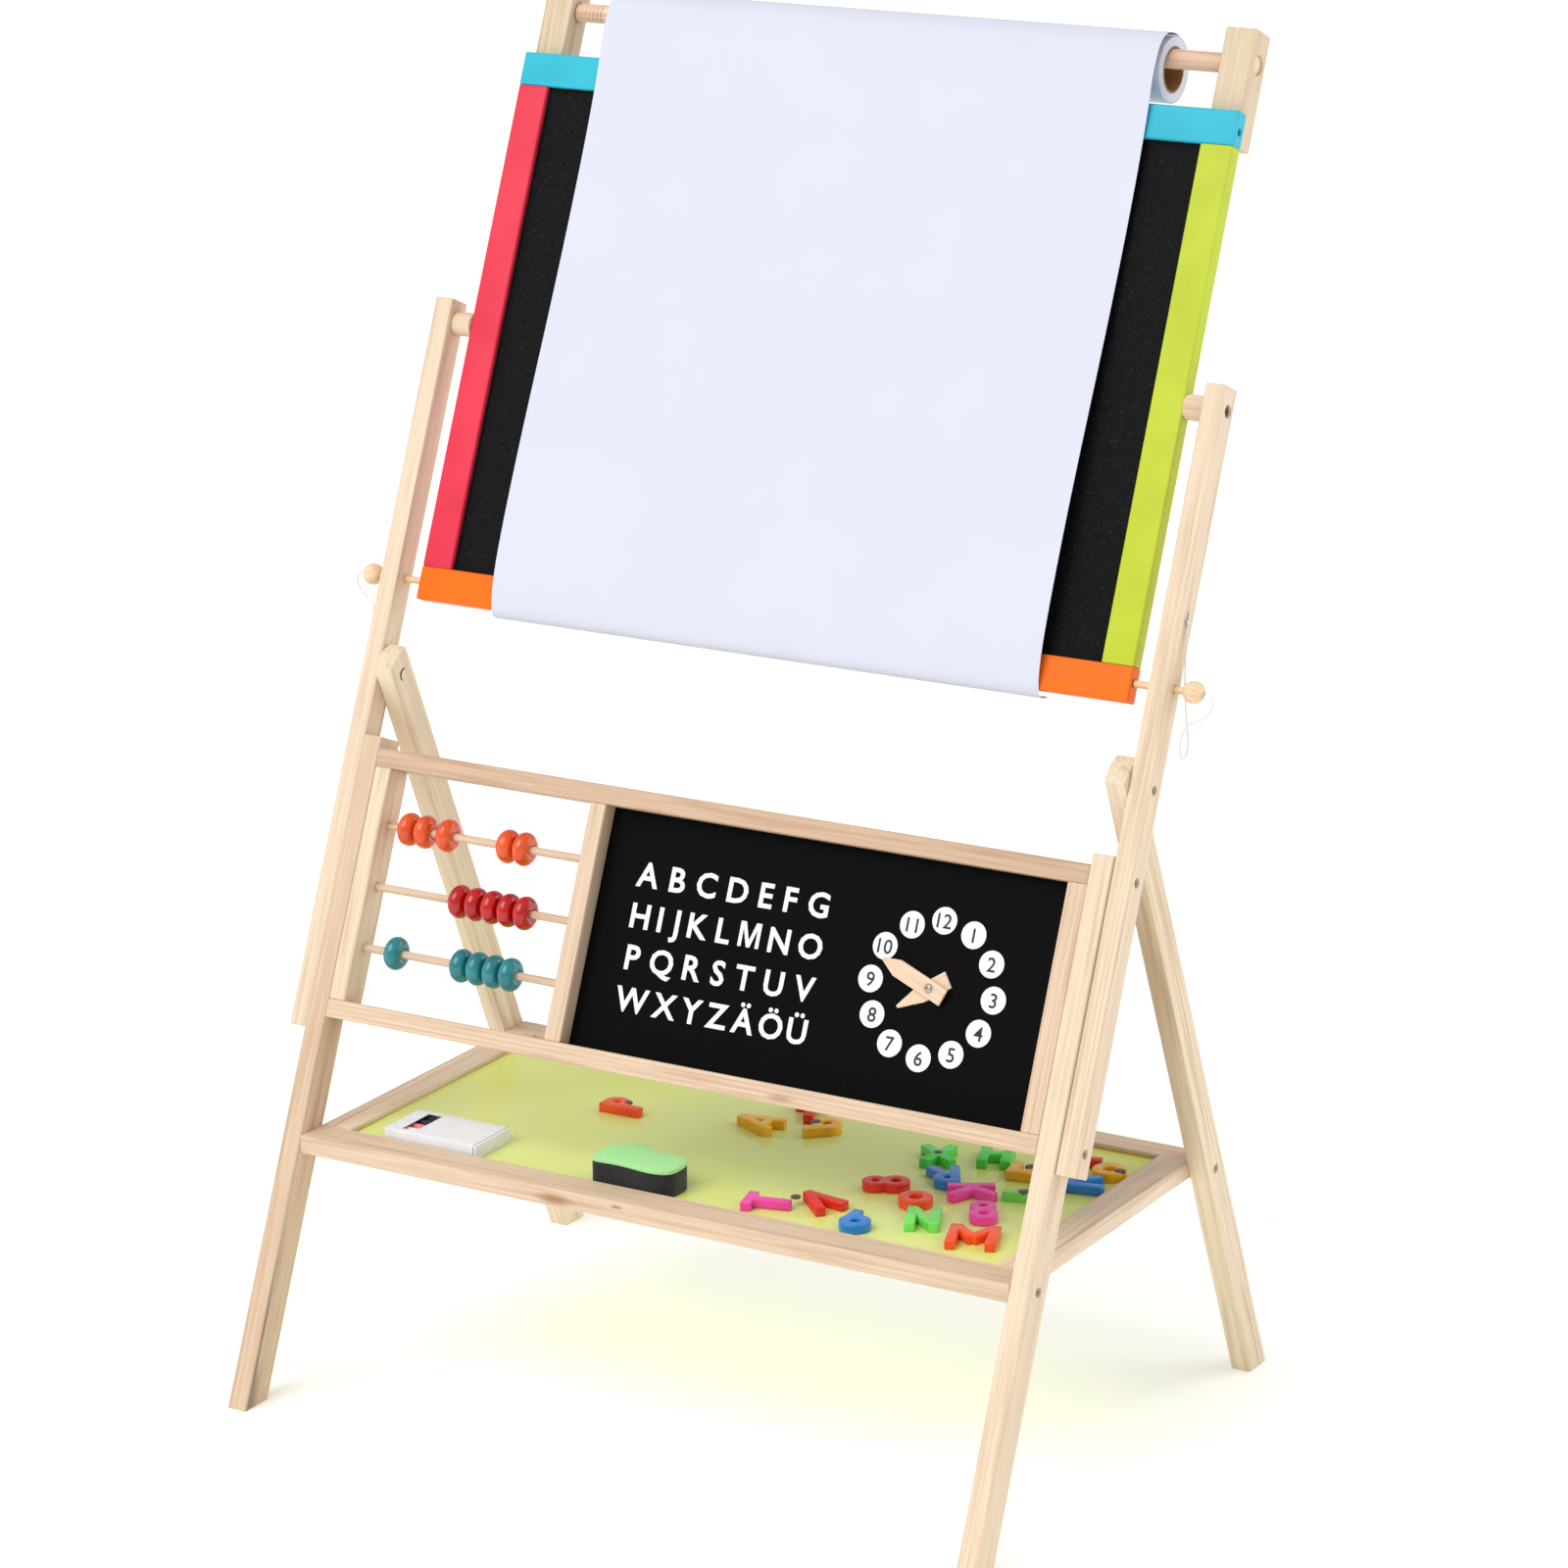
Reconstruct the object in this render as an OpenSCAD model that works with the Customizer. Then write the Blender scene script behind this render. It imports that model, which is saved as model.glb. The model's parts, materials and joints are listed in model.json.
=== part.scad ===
// Children's standing easel: a swivelling two-sided board held between two leaning uprights,
// a play panel with an abacus and a learning clock, a tray with drawing things, and a paper
// roll above the board.
// Millimetres, +Z up. Origin: on the floor, in the middle of the footprint.
// The front plane leans back, so most parts are drawn upright in a local frame whose
// x runs left to right, y runs back from the plane and z runs up the slope, and are then leaned.

/* [Frame] */
// Inner distance between the two front legs
inner_w = 585; // [480:1:720]
// Backward lean of the front plane, in degrees
lean = 22.5; // [15:0.5:28]
// Backward slope of the rear legs, in degrees
rear_lean = 24; // [16:0.5:30]
// Thickness of the legs, across the easel
leg_t = 16; // [12:0.5:24]
// Depth of the front legs, front to back
leg_d = 26; // [20:0.5:36]
// Depth of the rear legs, front to back
rear_d = 24; // [18:0.5:32]
// How far the front legs rise above the play panel
leg_over = 8; // [4:0.5:20]
// Thickness of the uprights, across the easel
up_t = 15; // [12:0.5:24]
// Depth of the uprights, front to back
up_d = 21; // [16:0.5:32]
// How far the uprights reach below the play panel's opening
up_under = 24; // [22:0.5:60]
// How far the uprights rise above the board's turning axis
up_over = 16.5; // [14:0.5:60]
// Distance of the rear legs' bolts above the front legs' tops
rear_over = 49; // [40:1:60]
// Rounding of the long edges of the frame's bars
edge_r = 1.4; // [0.5:0.1:3]

/* [Swivel board] */
// Gap between the board's ends and the uprights
board_gap = 16; // [8:0.5:24]
// Overall height of the board
board_h = 416; // [300:1:440]
// Thickness of the board's frame
board_t = 13; // [10:0.5:18]
// Width of the four painted frame bars, seen from the front
bar_w = 25; // [18:0.5:36]
// Clear height between the play panel and the board
board_rise = 113.5; // [90:0.5:160]
// Diameter of the pivot bolts
pivot_d = 6; // [4:0.5:8]
// Outer diameter of the spacers between board and uprights
spacer_d = 18; // [12:0.5:20]

/* [Lock pegs] */
// Diameter of the peg rods
peg_d = 5.2; // [4:0.1:8]
// Diameter of the peg balls
ball_d = 16; // [12:0.5:24]
// Distance of the peg axis from the board's lower edge
peg_in = 14; // [8:0.5:16]
// Diameter of the cords on the pegs
cord_d = 1.2; // [1:0.1:2]

/* [Paper roll] */
// Width of the paper
paper_w = 450; // [300:1:540]
// Outer diameter of the roll
roll_d = 48; // [38:1:58]
// Bore of the cardboard core
core_d = 30; // [24:1:36]
// Diameter of the dowel that carries the roll
dowel_d = 14; // [10:0.5:18]
// Side of the square posts that carry the dowel
post_a = 24; // [20:0.5:28]
// How far the posts rise above the board
post_rise = 60.5; // [58:0.5:70]
// Thickness of the paper as drawn
paper_t = 0.5; // [0.3:0.1:1]

/* [Play panel] */
// Height of the panel's upper and lower rails
rail_h = 14; // [11:0.5:20]
// Depth of the panel's bars, front to back
panel_d = 24; // [20:0.5:30]
// Middle height of the panel, measured up the slope
panel_s = 392.5; // [320:0.5:480]
// Clear height between the two rails
panel_gap = 173; // [150:1:190]
// Clear width of the abacus, from the left bar to the middle bar
abacus_w = 172.5; // [140:0.5:240]
// Diameter of the abacus rods
rod_d = 6; // [4:0.5:8]
// Outer diameter of the beads
bead_d = 25; // [20:0.5:32]
// Thickness of the beads
bead_t = 12.5; // [8:0.1:18]

/* [Tray] */
// Height of the tray's upper edge above the floor
tray_z = 189.5; // [170:0.5:200]
// Height of the tray's rails
tray_h = 14; // [12:0.5:20]
// Width of the tray's front rail
tray_front = 29; // [24:0.5:34]
// Width of the tray's rear rail
tray_rear = 23; // [20:0.5:28]
// Width of the tray's side rails
tray_side = 24.5; // [18:0.5:30]
// Depth of the tray's floor below its edge
tray_sink = 4.5; // [3:0.1:6]

/* [Hidden] */
$fn = 64;
e = 0.05;
sn = sin(lean);
cs = cos(lean);
hw = inner_w / 2;
leg_y = -(leg_d - up_d) / 2;
leg_m = up_d / 2;
up_in = hw + leg_t;
up_out = up_in + up_t;
// heights up the slope: play panel, front legs, board
pn_0 = panel_s - panel_gap / 2;
pn_1 = panel_s + panel_gap / 2;
leg_top = pn_1 + rail_h + leg_over;
up_low = pn_0 - up_under;
bd_0 = pn_1 + rail_h + board_rise;
bd_1 = bd_0 + board_h;
pivot_s = bd_0 + board_h / 2;
up_top = pivot_s + up_over;
// rear legs: where they are bolted on, in the local frame and on the floor plan
rear_s = leg_top + rear_over;
rear_y = rear_s * sn + leg_m * cs;
rear_z = rear_s * cs - leg_m * sn;
foot_front = leg_y / cs;
foot_back = rear_y + rear_z * tan(rear_lean) + rear_d / 2 / cos(rear_lean);
y_mid = (foot_front + foot_back) / 2;
// board, with its turning axis half way up and half way through
piv_y = 12.5;
bd_y = piv_y - board_t / 2;
bw = up_in - board_gap;
board_w = 2 * bw;
peg_s = bd_0 + peg_in;
staple_s = peg_s + 46.5;
sheet_t = 1.5;
// paper roll
post_x = bw - 14.5;
post_y = bd_y + board_t - 4;
post_top = bd_1 + post_rise;
dow_y = post_y + post_a / 2 + 0.5;
dow_s = bd_1 + 37.5;
roll_w = min(paper_w, 2 * post_x - post_a - 16);
hang = (core_d - dowel_d) / 2 - 0.4;
roll_y = dow_y + hang * sn;
roll_s = dow_s - hang * cs;
roll_r = roll_d / 2;
core_t = 1.6;
// play panel
pn_y = leg_y;
stile_l = 14;
stile_m = 13.5;
stile_r = 14.5;
mid_x = -hw + stile_l + abacus_w;
lb_x0 = mid_x + stile_m;
lb_x1 = hw - stile_r;
lb_y = 12;
lb_t = 3;
rod_y = 10.5;
rods = [45.5, 0, -45.5];
// the free way left of each bead, top rod first, out of the 110 that each rod leaves free
gaps = [[12.25, 1.5, 7, 40, 1.5], [67.25, 1.5, 1.5, 1.5, 1.5], [21.75, 45, 1.5, 1.5, 1.5]];
gap_k = (abacus_w - 5 * bead_t) / 110;
function total(v, n) = n < 0 ? 0 : v[n] + total(v, n - 1);
function bead_x(row, i) = -hw + stile_l + total(gaps[row], i) * gap_k + (i + 0.5) * bead_t;
clock_x = hw - 108;
clock_s = panel_s - 2;
hand_w = 12.5;
// tray
tr_y0 = (tray_z - tray_h / 2) * tan(lean) - 1.4 - y_mid;
tr_leg = (tray_z - tray_h / 2) * tan(lean) + leg_m / cs - y_mid;
tr_rear = foot_back - rear_d / 2 / cos(rear_lean) - (tray_z - tray_h / 2) * tan(rear_lean) - y_mid;
tr_y1 = tr_rear + tray_rear / 2;
floor_z = tray_z - tray_sink;
// a spot on the tray's floor: x from the middle, y back from the front rail
in_x = (hw - tray_side) / 268;
in_y = (tr_y1 - tray_rear - tr_y0 - tray_front) / 248.7;
function on_tray(x, y) = [x * in_x, tr_y0 + tray_front + y * in_y, floor_z];
// bolts
hole_r = 3.5;
head_r = 3.3;
bolt_r = 2;
nut_x = 22;
nut_r = 2.8;
leg_bolts = [pn_0 - rail_h / 2, pn_1 + rail_h / 2];

// the local frame of the leaning front plane
module leaned() {
  translate([0, -y_mid, 0]) rotate([-lean, 0, 0]) children();
}

// the local frame of a rear leg: z runs up the leg, from its bolt
module reared() {
  translate([0, rear_y - y_mid, rear_z]) rotate([rear_lean, 0, 0]) children();
}

module below_floor() {
  translate([-500, -600, -200]) cube([1000, 1200, 200]);
}

// a rectangle with rounded corners
module rounded(a, b, r) {
  translate([r, 0]) square([a - 2 * r, b]);
  translate([0, r]) square([a, b - 2 * r]);
  for (x = [r, a - r], y = [r, b - r]) translate([x, y]) circle(r = r, $fn = 32);
}

// a bar with rounded long edges, standing along z from p
module post(p, a, b, l, r = edge_r) {
  translate(p) linear_extrude(l) rounded(a, b, r);
}

// a bar with rounded long edges, lying along x from p: b deep and c high
module rail(p, l, b, c, r = edge_r) {
  translate(p) rotate([90, 0, 90]) linear_extrude(l) rounded(b, c, r);
}

// a round bore or pin along x, from x0 to x1
module along_x(x0, x1, y, z, r) {
  translate([x0, y, z]) rotate([0, 90, 0]) cylinder(r = r, h = x1 - x0);
}

// right-hand pieces are the left-hand ones mirrored
module side(s) {
  mirror([s > 0 ? 1 : 0, 0, 0]) children();
}

// ---- uprights and legs, drawn on the left side ----

module upright() {
  color([0.92, 0.82, 0.68]) leaned() difference() {
    post([-up_out, 0, up_low], up_t, up_d, up_top - up_low);
    // counterbored holes for the bolts into the legs and the rear leg's bolt
    for (s = concat(leg_bolts, [rear_s])) {
      along_x(-up_out - 1, -up_out + 7, leg_m, s, hole_r);
      along_x(-up_out, -up_in + 1, leg_m, s, bolt_r + 0.1);
    }
    along_x(-up_out - 1, -up_out + 6, piv_y, pivot_s, hole_r + 1.2);
    along_x(-up_out, -up_in + 1, piv_y, pivot_s, pivot_d / 2 + e);
    // plain bore for the lock peg, eased at its mouth
    along_x(-up_out - 1, -up_in + 1, piv_y, peg_s, peg_d / 2 + 0.08);
    translate([-up_out - 0.01, piv_y, peg_s]) rotate([0, 90, 0])
      cylinder(r1 = peg_d / 2 + 1.1, r2 = peg_d / 2 + 0.08, h = 1.2);
    // two pin holes for the cord's staple
    for (y = [-2.5, 2.5]) along_x(-up_out - 1, -up_out + 5, leg_m + y, staple_s, 0.6);
  }
}

module front_leg() {
  color([0.92, 0.82, 0.68]) difference() {
    leaned() difference() {
      post([-up_in, leg_y, -20], leg_t, leg_d, leg_top + 20);
      for (s = leg_bolts) along_x(-up_in - 1, -hw + 1, leg_m, s, bolt_r + 0.1);
    }
    below_floor();
    // counterbored hole for the bolt into the tray
    along_x(-up_in - 1, -up_in + 7, tr_leg, tray_z - tray_h / 2, hole_r);
    along_x(-up_in, -hw + 1, tr_leg, tray_z - tray_h / 2, bolt_r + 0.1);
  }
}

module rear_leg() {
  color([0.92, 0.82, 0.68]) difference() {
    reared() difference() {
      post([-up_in, -rear_d / 2, -rear_z / cos(rear_lean) - 60], leg_t, rear_d,
        rear_z / cos(rear_lean) + 77);
      // the top end is cut to a low ridge
      translate([-up_in - 1, -rear_d / 2, 12.5]) rotate([22, 0, 0])
        translate([0, -20, 0]) cube([leg_t + 2, 34, 30]);
      along_x(-up_in - 1, -hw + 1, 0, 0, bolt_r + 0.1);
      // the sleeve nut's seat on the inner face
      along_x(-hw - 5, -hw + 1, 0, 0, 4.6);
    }
    below_floor();
    along_x(-up_in - 1, -up_in + 7, tr_rear, tray_z - tray_h / 2, hole_r);
    along_x(-up_in, -hw + 1, tr_rear, tray_z - tray_h / 2, bolt_r + 0.1);
  }
}

module left_upright() {
  side(-1) upright();
}
module right_upright() {
  side(1) upright();
}
module left_front_leg() {
  side(-1) front_leg();
}
module right_front_leg() {
  side(1) front_leg();
}
module left_rear_leg() {
  side(-1) rear_leg();
}
module right_rear_leg() {
  side(1) rear_leg();
}

// ---- tray: two long rails, two short ones and a floor let into grooves ----

module tray_groove() {
  translate([-hw + tray_side - 4.2, tr_y0 + tray_front - 4.2, floor_z - 3.05])
    cube([2 * (hw - tray_side + 4.2), tr_y1 - tr_y0 - tray_front - tray_rear + 8.4, 3.1]);
}

module tray_long(y, b, bolt_y) {
  color([0.90, 0.80, 0.69]) difference() {
    rail([-hw, y, tray_z - tray_h], inner_w, b, tray_h);
    tray_groove();
    for (s = [-1, 1]) {
      // bore for the leg's bolt, and the cross hole for its barrel nut
      translate([s * hw, bolt_y, tray_z - tray_h / 2]) rotate([0, -90 * s, 0])
        translate([0, 0, -1]) cylinder(r = bolt_r + 0.1, h = 34);
      translate([s * (hw - nut_x), bolt_y, tray_z - tray_h - 1])
        cylinder(r = 4.05, h = tray_h - 1.4);
    }
  }
}

module tray_side_rail() {
  color([0.90, 0.80, 0.69]) difference() {
    translate([-hw, tr_y1 - tray_rear, tray_z - tray_h]) rotate([90, 0, 0])
      linear_extrude(tr_y1 - tray_rear - tr_y0 - tray_front) rounded(tray_side, tray_h, edge_r);
    tray_groove();
  }
}

module tray_front_rail() {
  tray_long(tr_y0, tray_front, tr_leg);
}
module tray_rear_rail() {
  tray_long(tr_y1 - tray_rear, tray_rear, tr_rear);
}
module tray_left_rail() {
  side(-1) tray_side_rail();
}
module tray_right_rail() {
  side(1) tray_side_rail();
}
module tray_panel() {
  color([0.80, 0.86, 0.50])
    translate([-hw + tray_side - 4, tr_y0 + tray_front - 4, floor_z - 3])
      cube([2 * (hw - tray_side + 4), tr_y1 - tr_y0 - tray_front - tray_rear + 8, 3]);
}

// ---- play panel ----

module panel_rail(s, groove_s) {
  color([0.92, 0.81, 0.69]) leaned() difference() {
    rail([-hw, pn_y, s], inner_w, panel_d, rail_h);
    translate([lb_x0 - 0.1, lb_y - 0.05, groove_s]) cube([lb_x1 - lb_x0 + 0.2, lb_t + 0.1, 4.2]);
    for (k = [-1, 1]) {
      translate([k * hw, leg_m, s + rail_h / 2]) rotate([0, -90 * k, 0])
        translate([0, 0, -1]) cylinder(r = bolt_r + 0.1, h = 34);
      translate([k * (hw - nut_x), pn_y + panel_d + 1, s + rail_h / 2]) rotate([90, 0, 0])
        cylinder(r = nut_r + 0.05, h = panel_d - 2);
    }
  }
}

module panel_top_rail() {
  panel_rail(pn_1, pn_1 - 0.1);
}
module panel_bottom_rail() {
  panel_rail(pn_0 - rail_h, pn_0 - 4.1);
}
// a bar between the rails; rod_side tells which faces take the abacus rods
module stile(x, w, bore_x0, bore_x1, groove_x) {
  color([0.92, 0.81, 0.69]) leaned() difference() {
    post([x, pn_y, pn_0], w, panel_d, panel_gap);
    for (s = rods) along_x(bore_x0, bore_x1, rod_y, panel_s + s, rod_d / 2 + 0.05);
    translate([groove_x, lb_y - 0.05, pn_0 - 1]) cube([4.2, lb_t + 0.1, panel_gap + 2]);
  }
}
module panel_left_stile() {
  stile(-hw, stile_l, -hw + stile_l - 8, -hw + stile_l + 1, -hw - 10);
}
module panel_middle_stile() {
  stile(mid_x, stile_m, mid_x - 1, mid_x + 8, lb_x0 - 4.1);
}
module panel_right_stile() {
  stile(lb_x1, stile_r, hw + 10, hw + 11, lb_x1 - 0.1);
}
module letter_board() {
  color([0.06, 0.06, 0.07]) leaned() difference() {
    union() {
      translate([lb_x0 - 4, lb_y, pn_0]) cube([lb_x1 - lb_x0 + 8, lb_t, panel_gap]);
      translate([lb_x0, lb_y, pn_0 - 4]) cube([lb_x1 - lb_x0, lb_t, panel_gap + 8]);
    }
    translate([clock_x, lb_y + lb_t + 1, clock_s]) rotate([90, 0, 0]) cylinder(r = 2.1, h = lb_t + 2);
  }
}
module abacus_rods() {
  color([0.90, 0.76, 0.62]) leaned() for (s = rods)
    along_x(-hw + stile_l - 7.5, mid_x + 7.5, rod_y, panel_s + s, rod_d / 2);
}

// ---- clock: a headed pin through the letter board carries two wooden hands ----

module clock_pin() {
  color([0.80, 0.78, 0.74]) leaned() translate([clock_x, 0, clock_s]) rotate([-90, 0, 0]) {
    translate([0, 0, lb_y - 6.6]) cylinder(r = 3.2, h = 1);
    translate([0, 0, lb_y - 5.6]) cylinder(r = 2, h = 11.2);
    translate([0, 0, lb_y + lb_t + 0.1]) cylinder(r = 3.6, h = 1.2);
  }
}
// a flat hand, back square and tip pointed, lying at y0 and turned a degrees from straight up
module hand(y0, l, back, tip, a) {
  color([0.88, 0.66, 0.42]) leaned() translate([clock_x, y0, clock_s]) rotate([0, a, 0])
    rotate([90, 0, 0]) mirror([0, 0, 1]) linear_extrude(2.2) difference() {
      polygon([[-hand_w / 2, -back], [hand_w / 2, -back], [hand_w / 2, l - tip], [1, l], [-1, l],
        [-hand_w / 2, l - tip]]);
      circle(r = 2.06);
    }
}
module clock_hour_hand() {
  hand(lb_y - 2.6, 28, 15, 20, -125);
}
module clock_minute_hand() {
  hand(lb_y - 5.2, 42, 13, 13, -69);
}

// ---- bolts, barrel nuts and the board's two pivot bolts ----

// a recessed socket-head bolt along +x from x0, with its head seat at x0
module bolt(x0, x1, y, z, hr = head_r, r = bolt_r, seat = 7) {
  difference() {
    union() {
      along_x(x0 + seat - 4, x0 + seat, y, z, hr);
      along_x(x0 + seat - 1, x1, y, z, r);
    }
    along_x(x0 + seat - 5, x0 + seat - 1.6, y, z, 1.5, $fn = 6);
  }
}
module side_bolts() {
  leaned() {
    for (s = leg_bolts) {
      bolt(-up_out, -hw + nut_x + 6, leg_m, s);
      translate([-hw + nut_x, pn_y + panel_d - 0.6, s]) rotate([90, 0, 0])
        cylinder(r = nut_r, h = panel_d - 4);
    }
    bolt(-up_out, -hw - 1, leg_m, rear_s);
    along_x(-hw - 4.9, -hw - 0.6, leg_m, rear_s, 4.5);
    bolt(-up_out, -bw + 20, piv_y, pivot_s, hole_r + 1, pivot_d / 2, 6);
  }
  for (y = [tr_leg, tr_rear]) {
    bolt(-up_in, -hw + nut_x + 6, y, tray_z - tray_h / 2);
    translate([-hw + nut_x, y, tray_z - tray_h + 0.4]) cylinder(r = 4, h = tray_h - 3.4);
  }
}
module frame_bolts() {
  color([0.62, 0.62, 0.60]) {
    side_bolts();
    mirror([1, 0, 0]) side_bolts();
  }
}
module spacer() {
  color([0.90, 0.78, 0.64]) leaned() difference() {
    along_x(-up_in, -bw - 0.25, piv_y, pivot_s, spacer_d / 2);
    along_x(-up_in - 1, -bw + 1, piv_y, pivot_s, pivot_d / 2 + e);
  }
}
module left_pivot_spacer() {
  side(-1) spacer();
}
module right_pivot_spacer() {
  side(1) spacer();
}

// ---- lock pegs, and the cords that keep them with the easel ----

ball_x = up_out + 6 + ball_d / 2;
module peg() {
  color([0.90, 0.74, 0.58]) leaned() difference() {
    union() {
      along_x(-ball_x, -bw - 0.4, piv_y, peg_s, peg_d / 2);
      translate([-ball_x, piv_y, peg_s]) sphere(r = ball_d / 2);
    }
    // the cord's hole in the outer end
    along_x(-ball_x - ball_d, -ball_x - ball_d / 2 + 5, piv_y, peg_s, cord_d / 2 + 0.8);
  }
}
module left_lock_peg() {
  side(-1) peg();
}
module right_lock_peg() {
  side(1) peg();
}
module cord_staples() {
  color([0.75, 0.75, 0.74]) leaned() for (k = [-1, 1]) mirror([k > 0 ? 1 : 0, 0, 0]) {
    translate([-up_out - 2.1, leg_m - 3.5, staple_s]) rotate([-90, 0, 0]) cylinder(r = 0.75, h = 7);
    for (y = [-2.5, 2.5]) along_x(-up_out - 2.1, -up_out + 4.5, leg_m + y, staple_s, 0.55);
  }
}

// the cord's way on the right side, in the local frame: from its staple down behind the ball,
// round a loose loop and back into the ball's outer end
ux = up_out;
bx = ball_x + ball_d / 2;
cord_path = [for (p = [
  [ux + 0.7, 0, 53.5], [ux + 0.7, 0, 46.5], [ux + 1.2, 0.6, 39.5],
  [ux + 2.2, 2.4, 27.5], [ux + 3.2, 5.4, 13.5], [ux + 4.2, 9.5, -0.5],
  [ux + 5.4, 15, -14.5], [ux + 6.4, 21, -26.5], [ux + 7, 24.5, -36.5],
  [ux + 7.4, 21.5, -43.5], [ux + 7.8, 13.5, -43], [ux + 8.6, 7.5, -35.5],
  [ux + 10.2, 6, -26.5], [ux + 14, 8, -20.5], [ux + 20.5, 9.5, -17],
  [bx + 4, 7.5, -12], [bx + 6.4, 4, -5.5], [bx + 4.6, 2.2, -0.8],
  [bx + 0.6, 2, 0], [bx - 3.2, 2, 0]
]) [p[0], leg_m + p[1], peg_s + p[2]]];
// a smooth line through the points above, n steps to a span
function knot(i) = cord_path[max(0, min(len(cord_path) - 1, i))];
function spot(i, t) = 0.5 * (2 * knot(i) + t * (knot(i + 1) - knot(i - 1))
  + t * t * (2 * knot(i - 1) - 5 * knot(i) + 4 * knot(i + 1) - knot(i + 2))
  + t * t * t * (3 * knot(i) - knot(i - 1) - 3 * knot(i + 1) + knot(i + 2)));
cord_n = 4;
cord_line = [for (i = [0:len(cord_path) - 2]) for (j = [0:cord_n - 1]) spot(i, j / cord_n), knot(99)];
function unit(v) = v / norm(v);
function way(l, i) = unit(l[min(i + 1, len(l) - 1)] - l[max(i - 1, 0)]);
// a frame carried along the line without twist
function carried(l, i, u) = unit(u - (u * way(l, i)) * way(l, i));
function frames(l, i = 0, u = [0, 1, 0], out = []) =
  i == len(l) ? out : frames(l, i + 1, carried(l, i, u), concat(out, [carried(l, i, u)]));
module tube(l, r, sides = 8) {
  us = frames(l);
  n = len(l);
  pts = [for (i = [0:n - 1]) for (k = [0:sides - 1])
    l[i] + r * (cos(360 * k / sides) * us[i] + sin(360 * k / sides) * cross(way(l, i), us[i]))];
  skin = [for (i = [0:n - 2]) for (k = [0:sides - 1])
    [i * sides + k, i * sides + (k + 1) % sides, (i + 1) * sides + (k + 1) % sides, (i + 1) * sides + k]];
  polyhedron(pts, concat([[for (k = [0:sides - 1]) sides - 1 - k]], skin,
    [[for (k = [0:sides - 1]) (n - 1) * sides + k]]));
}
module left_peg_cord() {
  color([0.96, 0.95, 0.93]) mirror([1, 0, 0]) leaned() tube(cord_line, cord_d / 2);
}
module right_peg_cord() {
  color([0.96, 0.95, 0.93]) leaned() tube(cord_line, cord_d / 2);
}

// ---- swivel board ----

// the board's axis and peg bores, from its left end
module end_bores(s, r, deep) {
  for (k = [-1, 1]) translate([k * bw, piv_y, s]) rotate([0, -90 * k, 0])
    translate([0, 0, -1]) cylinder(r = r, h = deep + 1);
}
module board_rail(s) {
  difference() {
    rail([-bw, bd_y, s], board_w, board_t, bar_w, 1.6);
    end_bores(s < pivot_s ? peg_s : 2 * pivot_s - peg_s, peg_d / 2 + 0.08, 12);
    // groove for the two boards
    translate([-bw + bar_w - 4.1, piv_y - sheet_t - 0.05, s < pivot_s ? s + bar_w - 4.1 : s - 0.1])
      cube([board_w - 2 * bar_w + 8.2, 2 * sheet_t + 0.1, 4.2]);
    // seats for the two roll posts
    if (s > pivot_s) for (k = [-1, 1])
      translate([k * post_x - post_a / 2 - 0.05, post_y - 0.05, s + 1.95]) cube([post_a + 0.1, 20, 60]);
  }
}
module board_top_rail() {
  color([0.29, 0.78, 0.87]) leaned() board_rail(bd_1 - bar_w);
}
module board_bottom_rail() {
  color([1, 0.52, 0.13]) leaned() board_rail(bd_0);
}
module board_stile(x, groove_x) {
  leaned() difference() {
    post([x, bd_y, bd_0 + bar_w], bar_w, board_t, board_h - 2 * bar_w, 1.6);
    end_bores(pivot_s, pivot_d / 2 + e, 21);
    translate([groove_x, piv_y - sheet_t - 0.05, bd_0]) cube([4.2, 2 * sheet_t + 0.1, board_h]);
  }
}
module board_left_stile() {
  color([0.97, 0.31, 0.37]) board_stile(-bw, -bw + bar_w - 4.1);
}
module board_right_stile() {
  color([0.80, 0.85, 0.29]) board_stile(bw - bar_w, bw - bar_w - 0.1);
}
module board_sheet(y) {
  leaned() translate([-bw + bar_w - 4, y, bd_0 + bar_w - 4])
    cube([board_w - 2 * bar_w + 8, sheet_t, board_h - 2 * bar_w + 8]);
}
module chalkboard() {
  color([0.11, 0.11, 0.12]) board_sheet(piv_y - sheet_t);
}
module whiteboard() {
  color([0.95, 0.95, 0.95]) board_sheet(piv_y);
}

// ---- paper roll and its holder ----

module roll_post(k) {
  color([0.91, 0.82, 0.69]) leaned() difference() {
    post([k * post_x - post_a / 2, post_y, bd_1 - bar_w + 2], post_a, post_a,
      post_top - bd_1 + bar_w - 2);
    along_x(k * post_x - post_a, k * post_x + post_a, dow_y, dow_s, dowel_d / 2 + 0.1);
    // the lock peg's bore in the bar just touches the post
    end_bores(2 * pivot_s - peg_s, peg_d / 2 + 0.08, 12);
  }
}
module left_roll_post() {
  roll_post(-1);
}
module right_roll_post() {
  roll_post(1);
}
module roll_dowel() {
  color([0.88, 0.74, 0.60]) leaned() {
    along_x(-post_x - post_a / 2, post_x + post_a / 2, dow_y, dow_s, dowel_d / 2);
  }
}
module paper_core() {
  color([0.62, 0.49, 0.36]) leaned() difference() {
    along_x(-roll_w / 2, roll_w / 2, roll_y, roll_s, core_d / 2 + core_t);
    along_x(-roll_w / 2 - 1, roll_w / 2 + 1, roll_y, roll_s, core_d / 2);
  }
}
module paper_roll() {
  color([0.93, 0.94, 0.97]) leaned() difference() {
    along_x(-roll_w / 2, roll_w / 2, roll_y, roll_s, roll_r);
    along_x(-roll_w / 2 - 1, roll_w / 2 + 1, roll_y, roll_s, core_d / 2 + core_t);
  }
}
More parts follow.
